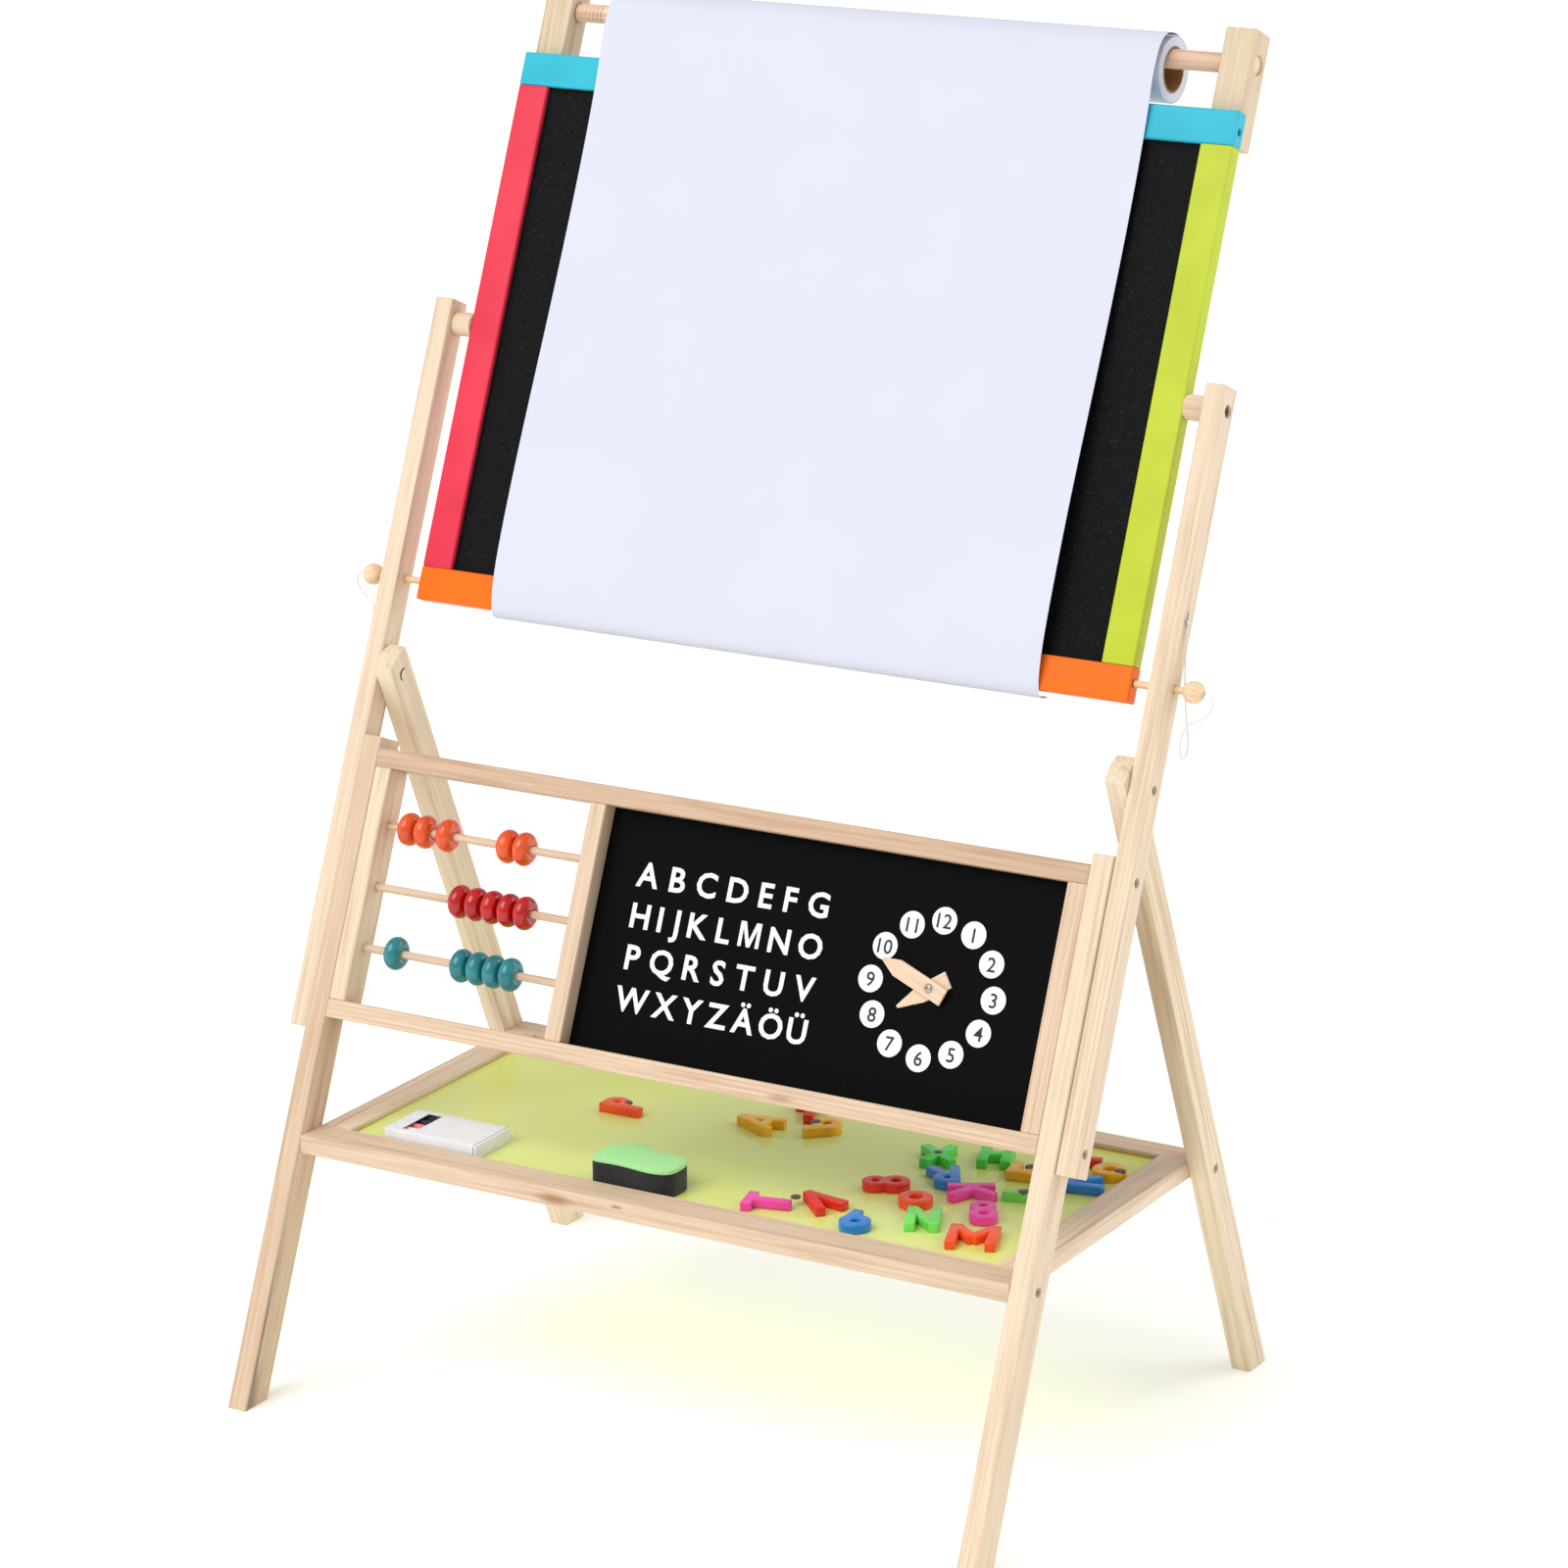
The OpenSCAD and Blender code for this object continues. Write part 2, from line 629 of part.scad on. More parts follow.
// the loose sheet's side profile: over the roll, down the board's front and under its lower bar
// over the roll: angle forward from its top, clearance
over = [[0, 0.8], [18, 1.7], [28, 2.8], [42, 5], [55, 5.7], [69, 6.1], [86, 5.9], [106, 7.9], [122, 11.6]];
// down the board: y for a board whose front is 5.5 back, part of the board's height
down = [[1.6, 1.003], [2.8, 0.97], [4, 0.922], [4.9, 0.85], [5.2, 0.754], [4.4, 0.621], [2.6, 0.501],
  [0.2, 0.381], [-1.6, 0.273], [-2.4, 0.177], [-2.2, 0.109], [-1.2, 0.066]];
// round the lower edge: y, height over that edge
under = [[0.6, 14.5], [3.4, 4], [7.4, -3], [12.6, -5], [18.4, -4.4], [23, -2.6]];
fr = (bd_y - 0.5) / 5.5;
sheet_line = concat(
  [for (p = over) [roll_y - (roll_r + p[1]) * sin(p[0]), roll_s + (roll_r + p[1]) * cos(p[0])]],
  [for (p = down) [p[0] * fr, bd_0 + p[1] * board_h]],
  [for (p = under) [p[0] * fr, bd_0 + p[1]]]);
function nrm(l, i) = let (w = unit(l[min(i + 1, len(l) - 1)] - l[max(i - 1, 0)])) [-w[1], w[0]];
module paper_sheet() {
  n = len(sheet_line);
  color([0.93, 0.94, 0.97]) leaned() translate([-roll_w / 2, 0, 0]) rotate([90, 0, 90])
    linear_extrude(roll_w) polygon(concat(
      [for (i = [0:n - 1]) sheet_line[i] + nrm(sheet_line, i) * paper_t / 2],
      [for (i = [n - 1:-1:0]) sheet_line[i] - nrm(sheet_line, i) * paper_t / 2]));
}

// ---- beads ----

module bead(row, i) {
  leaned() translate([bead_x(row, i), rod_y, panel_s + rods[row]]) rotate([0, 90, 0])
    rotate_extrude() intersection() {
      translate([(bead_d - bead_t) / 2, 0]) circle(r = bead_t / 2);
      translate([rod_d / 2 + 0.08, -bead_t]) square([bead_d, 2 * bead_t]);
    }
}
module bead_top(i) {
  color([0.94, 0.38, 0.17]) bead(0, i);
}
module bead_middle(i) {
  color([0.82, 0.12, 0.13]) bead(1, i);
}
module bead_bottom(i) {
  color([0.18, 0.60, 0.65]) bead(2, i);
}

// ---- things on the tray ----

module chalk_box() {
  color([0.92, 0.92, 0.94]) translate(on_tray(-238.5, 1)) difference() {
    cube([80, 46, 11]);
    // the window that shows the chalks
    translate([14, 6.5, 8.6]) cube([9, 33, 5]);
  }
}
module eraser_outline(h) {
  linear_extrude(h) {
    translate([6, 0]) square([56, 34]);
    translate([0, 6]) square([68, 22]);
    for (x = [6, 62], y = [6, 28]) translate([x, y]) circle(r = 6);
    translate([23, 34]) circle(r = 9);
    translate([14.5, 30]) square([17, 8]);
  }
}
module eraser_felt() {
  color([0.16, 0.16, 0.17]) translate(on_tray(-63, 1)) eraser_outline(17.5);
}
module eraser_top() {
  color([0.60, 0.88, 0.62]) translate(on_tray(-63, 1)) translate([0, 0, 17.5]) eraser_outline(3.5);
}

// letters and digits 34 high, built of straight strokes and rings
module seg(a, b, c, d, t = 7.5) {
  translate([a, b]) rotate(atan2(d - b, c - a)) translate([0, -t / 2]) square([norm([c - a, d - b]), t]);
}
module ring(x, y, r, t = 7.5) {
  translate([x, y]) difference() {
    circle(r = r, $fn = 40);
    circle(r = r - t, $fn = 40);
  }
}
module glyph(g) {
  if (g == "A" || g == "V") rotate(g == "V" ? 180 : 0) {
    seg(-10.5, -17, 0.8, 17);
    seg(10.5, -17, -0.8, 17);
    if (g == "A") seg(-6, -7, 6, -7, 6);
  }
  if (g == "T") {
    seg(-12, 13.2, 12, 13.2);
    seg(0, -17, 0, 12);
  }
  if (g == "L" || g == "F" || g == "H" || g == "N" || g == "M" || g == "K" || g == "P" || g == "R")
    seg(g == "M" ? -14 : -8.5, -17, g == "M" ? -14 : -8.5, 17);
  if (g == "L") seg(-8.5, -13.2, 11, -13.2);
  if (g == "F") {
    seg(-8.5, 13.2, 11, 13.2);
    seg(-8.5, 0, 8, 0, 7);
  }
  if (g == "H" || g == "N") seg(8.5, -17, 8.5, 17);
  if (g == "H") seg(-8, 0, 8, 0);
  if (g == "N") seg(-8.5, 15, 8.5, -15);
  if (g == "M") {
    seg(14, -17, 14, 17);
    seg(-13.5, 15.5, 0, -4);
    seg(13.5, 15.5, 0, -4);
  }
  if (g == "X") {
    seg(-10.5, -16, 10.5, 16);
    seg(10.5, -16, -10.5, 16);
  }
  if (g == "K") {
    seg(-7, -2, 10, 15.5);
    seg(-4, 1, 10.5, -15.5);
  }
  if (g == "P" || g == "R") intersection() {
    ring(-3, 6.6, 10.4);
    translate([-8.5, -10]) square([30, 40]);
  }
  if (g == "R") seg(-2, -1, 9.5, -16);
  if (g == "O") ring(0, 0, 12.5);
  if (g == "8") {
    ring(0, 7.6, 9.4, 6.3);
    ring(0, -7, 10.4, 6.6);
  }
  if (g == "6") {
    ring(0, -5.6, 11.4);
    seg(-7.6, -6, 3.4, 15.4);
  }
}
// what, place on the tray, turn
letters = [
  ["P", -121, 146.8, 92], ["A", -17, 162.8, 84], ["T", 4, 202.8, 24], ["6", 29, 175.8, 165],
  ["X", 131, 167.8, 26], ["H", 167.5, 187.8, 20], ["R", 155, 130.8, -150], ["F", 205, 172.3, 100],
  ["8", 126, 98.8, 118], ["O", 160, 80.8, 0], ["K", 187, 114.3, -60], ["L", 220.5, 135.3, 110],
  ["T", 72, 24.8, 104], ["V", 103, 44.8, -117], ["6", 143, 23.8, 30], ["N", 182, 51.8, 24],
  ["8", 213, 82.8, 30], ["M", 229, 37.8, 20], ["L", 226, 223.8, 14], ["O", 253, 199.3, 0],
  ["V", 246, 165.3, -60]
];
module magnetic_letters() {
  color([0.93, 0.30, 0.25]) for (l = letters)
    translate(on_tray(l[1], l[2])) rotate(l[3]) linear_extrude(7) scale(min(1, in_x, in_y)) glyph(l[0]);
}

left_upright();
right_upright();
left_front_leg();
right_front_leg();
left_rear_leg();
right_rear_leg();
tray_front_rail();
tray_rear_rail();
tray_left_rail();
tray_right_rail();
tray_panel();
panel_top_rail();
panel_bottom_rail();
panel_left_stile();
panel_middle_stile();
panel_right_stile();
letter_board();
abacus_rods();
clock_pin();
clock_hour_hand();
clock_minute_hand();
frame_bolts();
left_pivot_spacer();
right_pivot_spacer();
cord_staples();
left_peg_cord();
right_peg_cord();
left_lock_peg();
right_lock_peg();
board_top_rail();
board_bottom_rail();
board_left_stile();
board_right_stile();
chalkboard();
whiteboard();
left_roll_post();
right_roll_post();
roll_dowel();
paper_core();
paper_roll();
paper_sheet();
bead_top(0);  // bead_top_1
bead_top(1);  // bead_top_2
bead_top(2);  // bead_top_3
bead_top(3);  // bead_top_4
bead_top(4);  // bead_top_5
bead_middle(0);  // bead_middle_1
bead_middle(1);  // bead_middle_2
bead_middle(2);  // bead_middle_3
bead_middle(3);  // bead_middle_4
bead_middle(4);  // bead_middle_5
bead_bottom(0);  // bead_bottom_1
bead_bottom(1);  // bead_bottom_2
bead_bottom(2);  // bead_bottom_3
bead_bottom(3);  // bead_bottom_4
bead_bottom(4);  // bead_bottom_5
chalk_box();
eraser_felt();
eraser_top();
magnetic_letters();
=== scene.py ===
import json
import math
import random

import bmesh
import bpy
from mathutils import Matrix, Vector


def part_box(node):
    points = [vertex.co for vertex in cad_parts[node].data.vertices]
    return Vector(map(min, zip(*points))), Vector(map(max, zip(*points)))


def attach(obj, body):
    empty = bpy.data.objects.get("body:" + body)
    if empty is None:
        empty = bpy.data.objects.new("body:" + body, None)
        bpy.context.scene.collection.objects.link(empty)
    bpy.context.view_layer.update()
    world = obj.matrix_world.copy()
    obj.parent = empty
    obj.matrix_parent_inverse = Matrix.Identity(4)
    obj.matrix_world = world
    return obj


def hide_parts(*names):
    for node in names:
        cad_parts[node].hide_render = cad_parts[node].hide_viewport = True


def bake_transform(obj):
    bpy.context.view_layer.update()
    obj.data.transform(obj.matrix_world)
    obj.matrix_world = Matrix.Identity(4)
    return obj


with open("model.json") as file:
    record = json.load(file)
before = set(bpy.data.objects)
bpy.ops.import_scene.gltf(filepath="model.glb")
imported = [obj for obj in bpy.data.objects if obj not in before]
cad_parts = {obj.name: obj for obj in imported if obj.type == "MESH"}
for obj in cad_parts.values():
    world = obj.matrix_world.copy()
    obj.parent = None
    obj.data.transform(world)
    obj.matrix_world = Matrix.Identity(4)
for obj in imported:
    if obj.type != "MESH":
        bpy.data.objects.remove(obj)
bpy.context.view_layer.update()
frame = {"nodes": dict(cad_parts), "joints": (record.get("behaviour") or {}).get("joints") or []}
scene = bpy.context.scene

# ---- The room: a white studio sweep under a large soft light, and the camera that stands to the
# right of the easel, a little above it, with a long lens.
CAMERA_AT = Vector((1.7878, -3.0134, 1.4733))
CAMERA_TURN = 0.5265
CAMERA_DOWN = 0.2717
camera_data = bpy.data.cameras.new("camera")
camera_data.sensor_width = 36
camera_data.lens = 117.44
camera_data.shift_x = -0.0059
camera_data.shift_y = -0.0318
camera = bpy.data.objects.new("camera", camera_data)
scene.collection.objects.link(camera)
camera.location = CAMERA_AT
camera.rotation_euler = (math.pi / 2 - CAMERA_DOWN, 0.0009, CAMERA_TURN)
scene.camera = camera


def linear(code):
    """An sRGB hex colour as the linear numbers that the sockets take."""
    parts = [int(code[i:i + 2], 16) / 255 for i in (1, 3, 5)]
    return tuple(c / 12.92 if c <= 0.04045 else ((c + 0.055) / 1.055) ** 2.4 for c in parts) + (1,)


def add(tree, kind, links=(), ramp=(), **settings):
    """Adds a node: links are its input sockets and what they get, ramp its colour stops."""
    node = tree.nodes.new("ShaderNode" + kind)
    for key, value in settings.items():
        setattr(node, key, value)
    for key, value in dict(links).items():
        if isinstance(value, bpy.types.NodeSocket):
            tree.links.new(value, node.inputs[key])
        else:
            node.inputs[key].default_value = value
    for i, (place, colour) in enumerate(ramp):
        stop = node.color_ramp.elements[i] if i < 2 else node.color_ramp.elements.new(place)
        stop.position = place
        stop.color = colour
    return node


def new_material(name, **principled):
    """A material with its shader, and the tree to add nodes to."""
    material = bpy.data.materials.new(name)
    material.use_nodes = True
    shader = material.node_tree.nodes["Principled BSDF"]
    for key, value in principled.items():
        shader.inputs[key.replace("_", " ")].default_value = value
    return material, material.node_tree, shader


def area_light(name, at, towards, size, power):
    data = bpy.data.lights.new(name, "AREA")
    data.shape = "RECTANGLE"
    data.size, data.size_y = size
    data.energy = power
    light = bpy.data.objects.new(name, data)
    light.location = at
    light.rotation_euler = (Vector(towards) - Vector(at)).to_track_quat("-Z", "Y").to_euler()
    scene.collection.objects.link(light)


area_light("left_softbox", (-2.6, -1.4, 1.2), (0, 0, 0.5), (2.4, 2.4), 7)
area_light("rear_softbox", (1.9, 1.3, 1.5), (0, 0, 0.4), (2.0, 2.0), 20)
sun_data = bpy.data.lights.new("overhead_bank", "SUN")
sun_data.energy = 1.75
sun_data.angle = math.radians(45)
sun = bpy.data.objects.new("overhead_bank", sun_data)
sun.rotation_euler = Vector((0.24, 0.72, -0.85)).to_track_quat("-Z", "Y").to_euler()
scene.collection.objects.link(sun)
world = bpy.data.worlds.new("studio")
scene.world = world
world.use_nodes = True
world.node_tree.nodes["Background"].inputs["Color"].default_value = (0.97, 0.985, 1.0, 1)
world.node_tree.nodes["Background"].inputs["Strength"].default_value = 0.55
scene.view_settings.view_transform = "Standard"

FLOOR_HALF = 150
floor_data = bpy.data.meshes.new("floor")
sweep = bmesh.new()
bmesh.ops.create_grid(sweep, x_segments=1, y_segments=1, size=FLOOR_HALF)
sweep.to_mesh(floor_data)
sweep.free()
floor = bpy.data.objects.new("floor", floor_data)
scene.collection.objects.link(floor)
paper_white, tree, shader = new_material("seamless_background_paper", Roughness=0.9)
shader.inputs["Base Color"].default_value = linear("#FCFCFD")
shader.inputs["Emission Color"].default_value = (1, 1, 1, 1)
shader.inputs["Emission Strength"].default_value = 0.2
floor_data.materials.append(paper_white)

# ---- The peg cords: a short white twisted cotton cord on each side, stapled to the upright and
# glued into the end of its lock peg, so the peg can't get lost. It hangs in a loose loop.
LEAN = math.radians(22.5)
PIVOT_LOCAL = (0, 12.5, 814.5)
pivot_at = Vector(next(j["pos_m"] for j in frame["joints"] if j["name"] == "board_flip"))


def tilt(y, s):
    """Turns y back and s up the slope, in mm, to the easel's y and z in metres."""
    return (y * math.cos(LEAN) + s * math.sin(LEAN)) / 1000, (s * math.cos(LEAN) - y * math.sin(LEAN)) / 1000


def leaned(x, y, s):
    """A point of the leaning front plane: x right, y back from it, s up the slope, in mm."""
    dy, dz = tilt(y - PIVOT_LOCAL[1], s - PIVOT_LOCAL[2])
    return Vector((x / 1000, pivot_at.y + dy, pivot_at.z + dz))


IN_MM = Matrix.Scale(0.001, 4)
LEANED = Matrix.Translation(leaned(0, 0, 0)) @ Matrix.Rotation(-LEAN, 4, "X") @ IN_MM
UPRIGHT_OUT = 323.5
BALL_END = UPRIGHT_OUT + 22
CORD_MIDDLE = 10.5
PEG_S = 620.5
CORD_ROUTE = [
    (0.7, 0, 53.5), (0.7, 0, 46.5), (1.2, 0.6, 39.5), (2.2, 2.4, 27.5), (3.2, 5.4, 13.5),
    (4.2, 9.5, -0.5), (5.4, 15, -14.5), (6.4, 21, -26.5), (7, 24.5, -36.5), (7.4, 21.5, -43.5),
    (7.8, 13.5, -43), (8.6, 7.5, -35.5), (10.2, 6, -26.5), (14, 8, -20.5), (20.5, 9.5, -17),
    (26, 7.5, -12), (28.4, 4, -5.5), (26.6, 2.2, -0.8), (22.6, 2, 0), (18.8, 2, 0)]


def smooth_line(points, steps):
    """A Catmull-Rom line through the points, with so many steps to a span."""
    last = len(points) - 1
    out = []
    for i in range(last):
        a, b, c, d = (Vector(points[max(0, min(last, k))]) for k in range(i - 1, i + 3))
        for j in range(steps):
            t = j / steps
            out.append(0.5 * (2 * b + t * (c - a) + t * t * (2 * a - 5 * b + 4 * c - d)
                              + t ** 3 * (3 * b - a - 3 * c + d)))
    return out + [Vector(points[-1])]


# cotton: three strands laid to the right, one turn in 3 mm, drawn as slanting bands of light and shade
cotton_cord, tree, shader = new_material("laid_cotton_cord", Roughness=0.85, Sheen_Weight=0.3)
uv = add(tree, "UVMap", uv_map="lay")
parts = add(tree, "SeparateXYZ", {"Vector": uv.outputs["UV"]})
lay = add(tree, "Math", {0: parts.outputs["X"], 1: parts.outputs["Y"]}, operation="ADD")
wave = add(tree, "Math", {0: lay.outputs[0], 1: math.tau}, operation="MULTIPLY")
strand = add(tree, "Math", {0: wave.outputs[0]}, operation="SINE")
tone = add(tree, "MapRange", {"Value": strand.outputs[0], "From Min": -1.0, "From Max": 0.6})
mix = add(tree, "ValToRGB", {"Fac": tone.outputs[0]}, ramp=[(0, linear("#C9C3B8")), (1, linear("#F7F4EE"))])
tree.links.new(mix.outputs["Color"], shader.inputs["Base Color"])
bump = add(tree, "Bump", {"Height": strand.outputs[0], "Strength": 0.7, "Distance": 0.0001})
tree.links.new(bump.outputs["Normal"], shader.inputs["Normal"])


def shown(name, mesh, material, body):
    """Links a finished mesh as a piece that rides on a body."""
    piece = bpy.data.objects.new(name, mesh)
    scene.collection.objects.link(piece)
    if material is not None:
        mesh.materials.clear()
        mesh.materials.append(material)
    if body is not None:
        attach(piece, body)
    return piece


CORD_D, CORD_SIDES, STRANDS, LAY_MM = 1.2, 10, 3, 3
for side, sign in (("left", -1), ("right", 1)):
    route = [leaned(sign * (UPRIGHT_OUT + x), CORD_MIDDLE + y, PEG_S + s) for x, y, s in CORD_ROUTE]
    line = smooth_line(route, 8)
    cord = bmesh.new()
    lay_map = cord.loops.layers.uv.new("lay")
    ring = bmesh.ops.create_circle(cord, segments=CORD_SIDES, radius=CORD_D / 2000)["verts"]
    rings, run, runs = [], 0.0, []
    across = Vector((0, 1, 0))
    for i, spot in enumerate(line):
        way = (line[min(i + 1, len(line) - 1)] - line[max(i - 1, 0)]).normalized()
        across = (across - way * across.dot(way)).normalized()
        turn = Matrix((across, way.cross(across), way)).transposed().to_4x4()
        if i:
            run += (spot - line[i - 1]).length
            ring = bmesh.ops.duplicate(cord, geom=ring)["geom"]
            ring = [g for g in ring if isinstance(g, bmesh.types.BMVert)]
        rings.append(ring)
        runs.append((Matrix.Translation(spot) @ turn, run))
    flat_ring = [v.co.copy() for v in rings[0]]
    for ring, (place, _) in zip(rings, runs):
        for v, co in zip(ring, flat_ring):
            v.co = place @ co
    faces = []
    for k in range(len(rings) - 1):
        for n in range(CORD_SIDES):
            m = (n + 1) % CORD_SIDES
            face = cord.faces.new((rings[k][n], rings[k][m], rings[k + 1][m], rings[k + 1][n]))
            for loop, (a, b) in zip(face.loops, ((n, k), (n + 1, k), (n + 1, k + 1), (n, k + 1))):
                loop[lay_map].uv = (STRANDS * a / CORD_SIDES, runs[b][1] * 1000 / LAY_MM)
            face.smooth = True
    cord.faces.new(list(reversed(rings[0])))
    cord.faces.new(rings[-1])
    bmesh.ops.recalc_face_normals(cord, faces=cord.faces)
    mesh = bpy.data.meshes.new(side + "_cord")
    cord.to_mesh(mesh)
    cord.free()
    piece = shown(side + "_cotton_cord", mesh, cotton_cord, None)
    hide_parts(side + "_peg_cord")
    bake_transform(piece)

# ---- The frame: uprights, front legs and rear legs of planed pine, clear lacquered. Their long
# edges are rounded in the planer and their ends are sawn square and broken with sandpaper.
ALONG_SLOPE = (LEAN, 0, 0)
ALONG_REAR = (-math.radians(24), 0, 0)
ALONG_X = (0, -math.pi / 2, 0)
ALONG_LEANED_X = (LEAN, -math.pi / 2, 0)
ALONG_Y = (math.pi / 2, 0, 0)
PALE_PINE = ("#E7D3BB", "#DEC7AA", "#D0B492")
ROSY_PINE = ("#DFC7AE", "#D6B99B", "#C7A283")
# a darker copy of the pale pine, which paints the shade the left front leg stands in, away from the light on
# the right
SHADED_LEFT_LEG_PINE = ("#D9C0A6", "#CEB092", "#C09D7F")
YELLOW_PINE = ("#E9D8BF", "#DEC7A4", "#CFB38B")
pith_draw = random.Random(11)


def pine(name, node, grain, colours, ring_mm=3.4, knots=()):
    """Lacquered pine: the year rings of a trunk whose middle runs beside the bar, along its grain.
    The pale spring wood darkens towards each ring's edge, over fine fibres; knots are (place, radius)."""
    material, tree, shader = new_material(name, Roughness=0.5, Specular_IOR_Level=0.3)
    low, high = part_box(node)
    middle = Matrix.Rotation(grain[0], 3, "X") @ ((Vector(low) + Vector(high)) / 2)
    middle = Matrix.Rotation(grain[1], 3, "Y") @ middle
    angle = pith_draw.uniform(0.15, 1.4) + pith_draw.choice((0, math.pi / 2, math.pi))
    reach = pith_draw.uniform(0.035, 0.07)
    pith = Vector((reach * math.cos(angle), reach * math.sin(angle), pith_draw.uniform(0, 3)))
    spot = add(tree, "TexCoord").outputs["Object"]
    wood = add(tree, "Mapping", {"Vector": spot, "Rotation": grain, "Location": pith - middle})


    def drawn_out(per_m, squash, detail):
        """Noise of so many cells to a metre, drawn out along the grain."""
        at = add(tree, "Mapping", {"Vector": wood.outputs[0], "Scale": (1, 1, squash)})
        return add(tree, "TexNoise", {"Vector": at.outputs[0], "Scale": per_m, "Detail": detail})

    bend = drawn_out(16, 0.07, 2.0)
    centred = add(tree, "VectorMath", {0: bend.outputs["Color"], 1: (-0.5, -0.5, -0.5)}, operation="ADD")
    warped = add(tree, "VectorMath", {0: centred.outputs[0], 1: (0.016, 0.016, 0), 2: wood.outputs[0]},
                 operation="MULTIPLY_ADD")
    rings = add(tree, "TexWave", {"Vector": warped.outputs[0], "Scale": math.tau / 20 / (ring_mm / 1000)},
                wave_type="RINGS", rings_direction="Z", wave_profile="SAW")
    early, mid, late = (linear(c) for c in colours)
    ringed = add(tree, "ValToRGB", {"Fac": rings.outputs["Fac"]},
                 ramp=[(0, early), (1, early), (0.45, early), (0.8, mid), (0.94, late)])
    fibres = drawn_out(620, 0.025, 3.0)
    patches = drawn_out(34, 0.07, 1.0)
    patchy = add(tree, "MapRange", {"Value": patches.outputs["Fac"], "From Min": 0.3, "From Max": 0.62,
                                    "To Min": 0.25})
    blend = add(tree, "Mix", {"Factor": patchy.outputs[0], "A": ringed.outputs["Color"], "B": early},
                data_type="RGBA")
    tint = add(tree, "ValToRGB", {"Fac": fibres.outputs["Fac"]},
               ramp=[(0.3, (0.88, 0.84, 0.79, 1)), (0.68, (1.03, 1.03, 1.02, 1))])
    tinted = add(tree, "Mix", {"Factor": 1.0, "A": blend.outputs["Result"], "B": tint.outputs["Color"]},
                 data_type="RGBA", blend_type="MULTIPLY")
    streaks = drawn_out(150, 0.045, 2.0)
    resin = add(tree, "ValToRGB", {"Fac": streaks.outputs["Fac"]},
                ramp=[(0.52, (1.02, 1.01, 1, 1)), (0.72, (0.86, 0.79, 0.72, 1))])
    streaked = add(tree, "Mix", {"Factor": 1.0, "A": tinted.outputs["Result"], "B": resin.outputs["Color"]},
                   data_type="RGBA", blend_type="MULTIPLY")
    colour = streaked.outputs["Result"]
    for place, radius in knots:
        # a knot is drawn out along the grain, and its rim fades into the wood
        long_way = Matrix.Rotation(-grain[0], 3, "X") @ Matrix.Rotation(-grain[1], 3, "Y") @ Vector((0, 0, 1))
        offset = add(tree, "VectorMath", {0: spot, 1: place}, operation="SUBTRACT")
        on_grain = add(tree, "VectorMath", {0: offset.outputs[0], 1: long_way}, operation="DOT_PRODUCT")
        nearer = add(tree, "Math", {0: on_grain.outputs["Value"], 1: -0.72}, operation="MULTIPLY")
        pulled = add(tree, "VectorMath", {0: long_way, "Scale": nearer.outputs[0]}, operation="SCALE")
        squeezed = add(tree, "VectorMath", {0: offset.outputs[0], 1: pulled.outputs[0]}, operation="ADD")
        away = add(tree, "VectorMath", {0: squeezed.outputs[0]}, operation="LENGTH")
        inside = add(tree, "MapRange", {"Value": away.outputs["Value"], "From Min": radius * 1.5,
                                        "From Max": radius * 0.4})
        knot = add(tree, "Mix", {"Factor": inside.outputs[0], "A": colour, "B": linear("#A8835F")},
                   data_type="RGBA")
        colour = knot.outputs["Result"]
    tree.links.new(colour, shader.inputs["Base Color"])
    rough = add(tree, "MapRange", {"Value": fibres.outputs["Fac"], "To Min": 0.42, "To Max": 0.6})
    tree.links.new(rough.outputs[0], shader.inputs["Roughness"])
    bump = add(tree, "Bump", {"Height": fibres.outputs["Fac"], "Strength": 0.25, "Distance": 0.0003})
    tree.links.new(bump.outputs["Normal"], shader.inputs["Normal"])
    return material


def clean_copy(node):
    """A CAD node's mesh as a bmesh, its triangles merged back into flat faces."""
    copy = bmesh.new()
    copy.from_mesh(frame["nodes"][node].data)
    bmesh.ops.remove_doubles(copy, verts=copy.verts, dist=2e-6)
    bmesh.ops.dissolve_limit(copy, angle_limit=math.radians(1), verts=copy.verts, edges=copy.edges)
    return copy


FLAT_FROM_MM2 = 20


def finished(name, shape, material, node_slot, body, *nodes, crease=40, flats=False):
    """Writes a bmesh as a smooth-shaded piece with creases, in place of CAD nodes. With flats, faces
    over 20 square mm are shaded flat, so that rounded edges don't bend the light on sawn faces."""
    mesh = bpy.data.meshes.new(name)
    shape.to_mesh(mesh)
    shape.free()
    for polygon in mesh.polygons:
        polygon.use_smooth = not (flats and polygon.area * 1e6 > FLAT_FROM_MM2)
    mesh.set_sharp_from_angle(angle=math.radians(crease))
    piece = shown(name, mesh, material, body)
    if nodes:
        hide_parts(*nodes)
    return piece


def break_edges(shape, width_mm, segments=2, steep=50):
    """Rounds the shape's sharp edges over, as sandpaper or a cutter does."""
    sharp = [e for e in shape.edges if len(e.link_faces) == 2
             and e.calc_face_angle(0) > math.radians(steep)]
    bmesh.ops.bevel(shape, geom=sharp, offset=width_mm / 1000, offset_type="OFFSET", segments=segments,
                    profile=0.5, affect="EDGES", clamp_overlap=False, material=-1)


def wooden(node, body, grain, colours=PALE_PINE, slot="pine_frame", width=0.7, **wood):
    shape = clean_copy(node)
    break_edges(shape, width)
    return finished("pine_" + node, shape, pine("lacquered_pine_" + node, node, grain, colours, **wood),
                    slot, body, node, flats=True)


for side in ("left", "right"):
    wooden(side + "_upright", "frame", ALONG_SLOPE)
    # the left front leg's darker pine is painted shade
    wooden(side + "_front_leg", "frame", ALONG_SLOPE, SHADED_LEFT_LEG_PINE if side == "left" else PALE_PINE)
    wooden(side + "_rear_leg", "frame", ALONG_REAR, YELLOW_PINE, ring_mm=4.2)

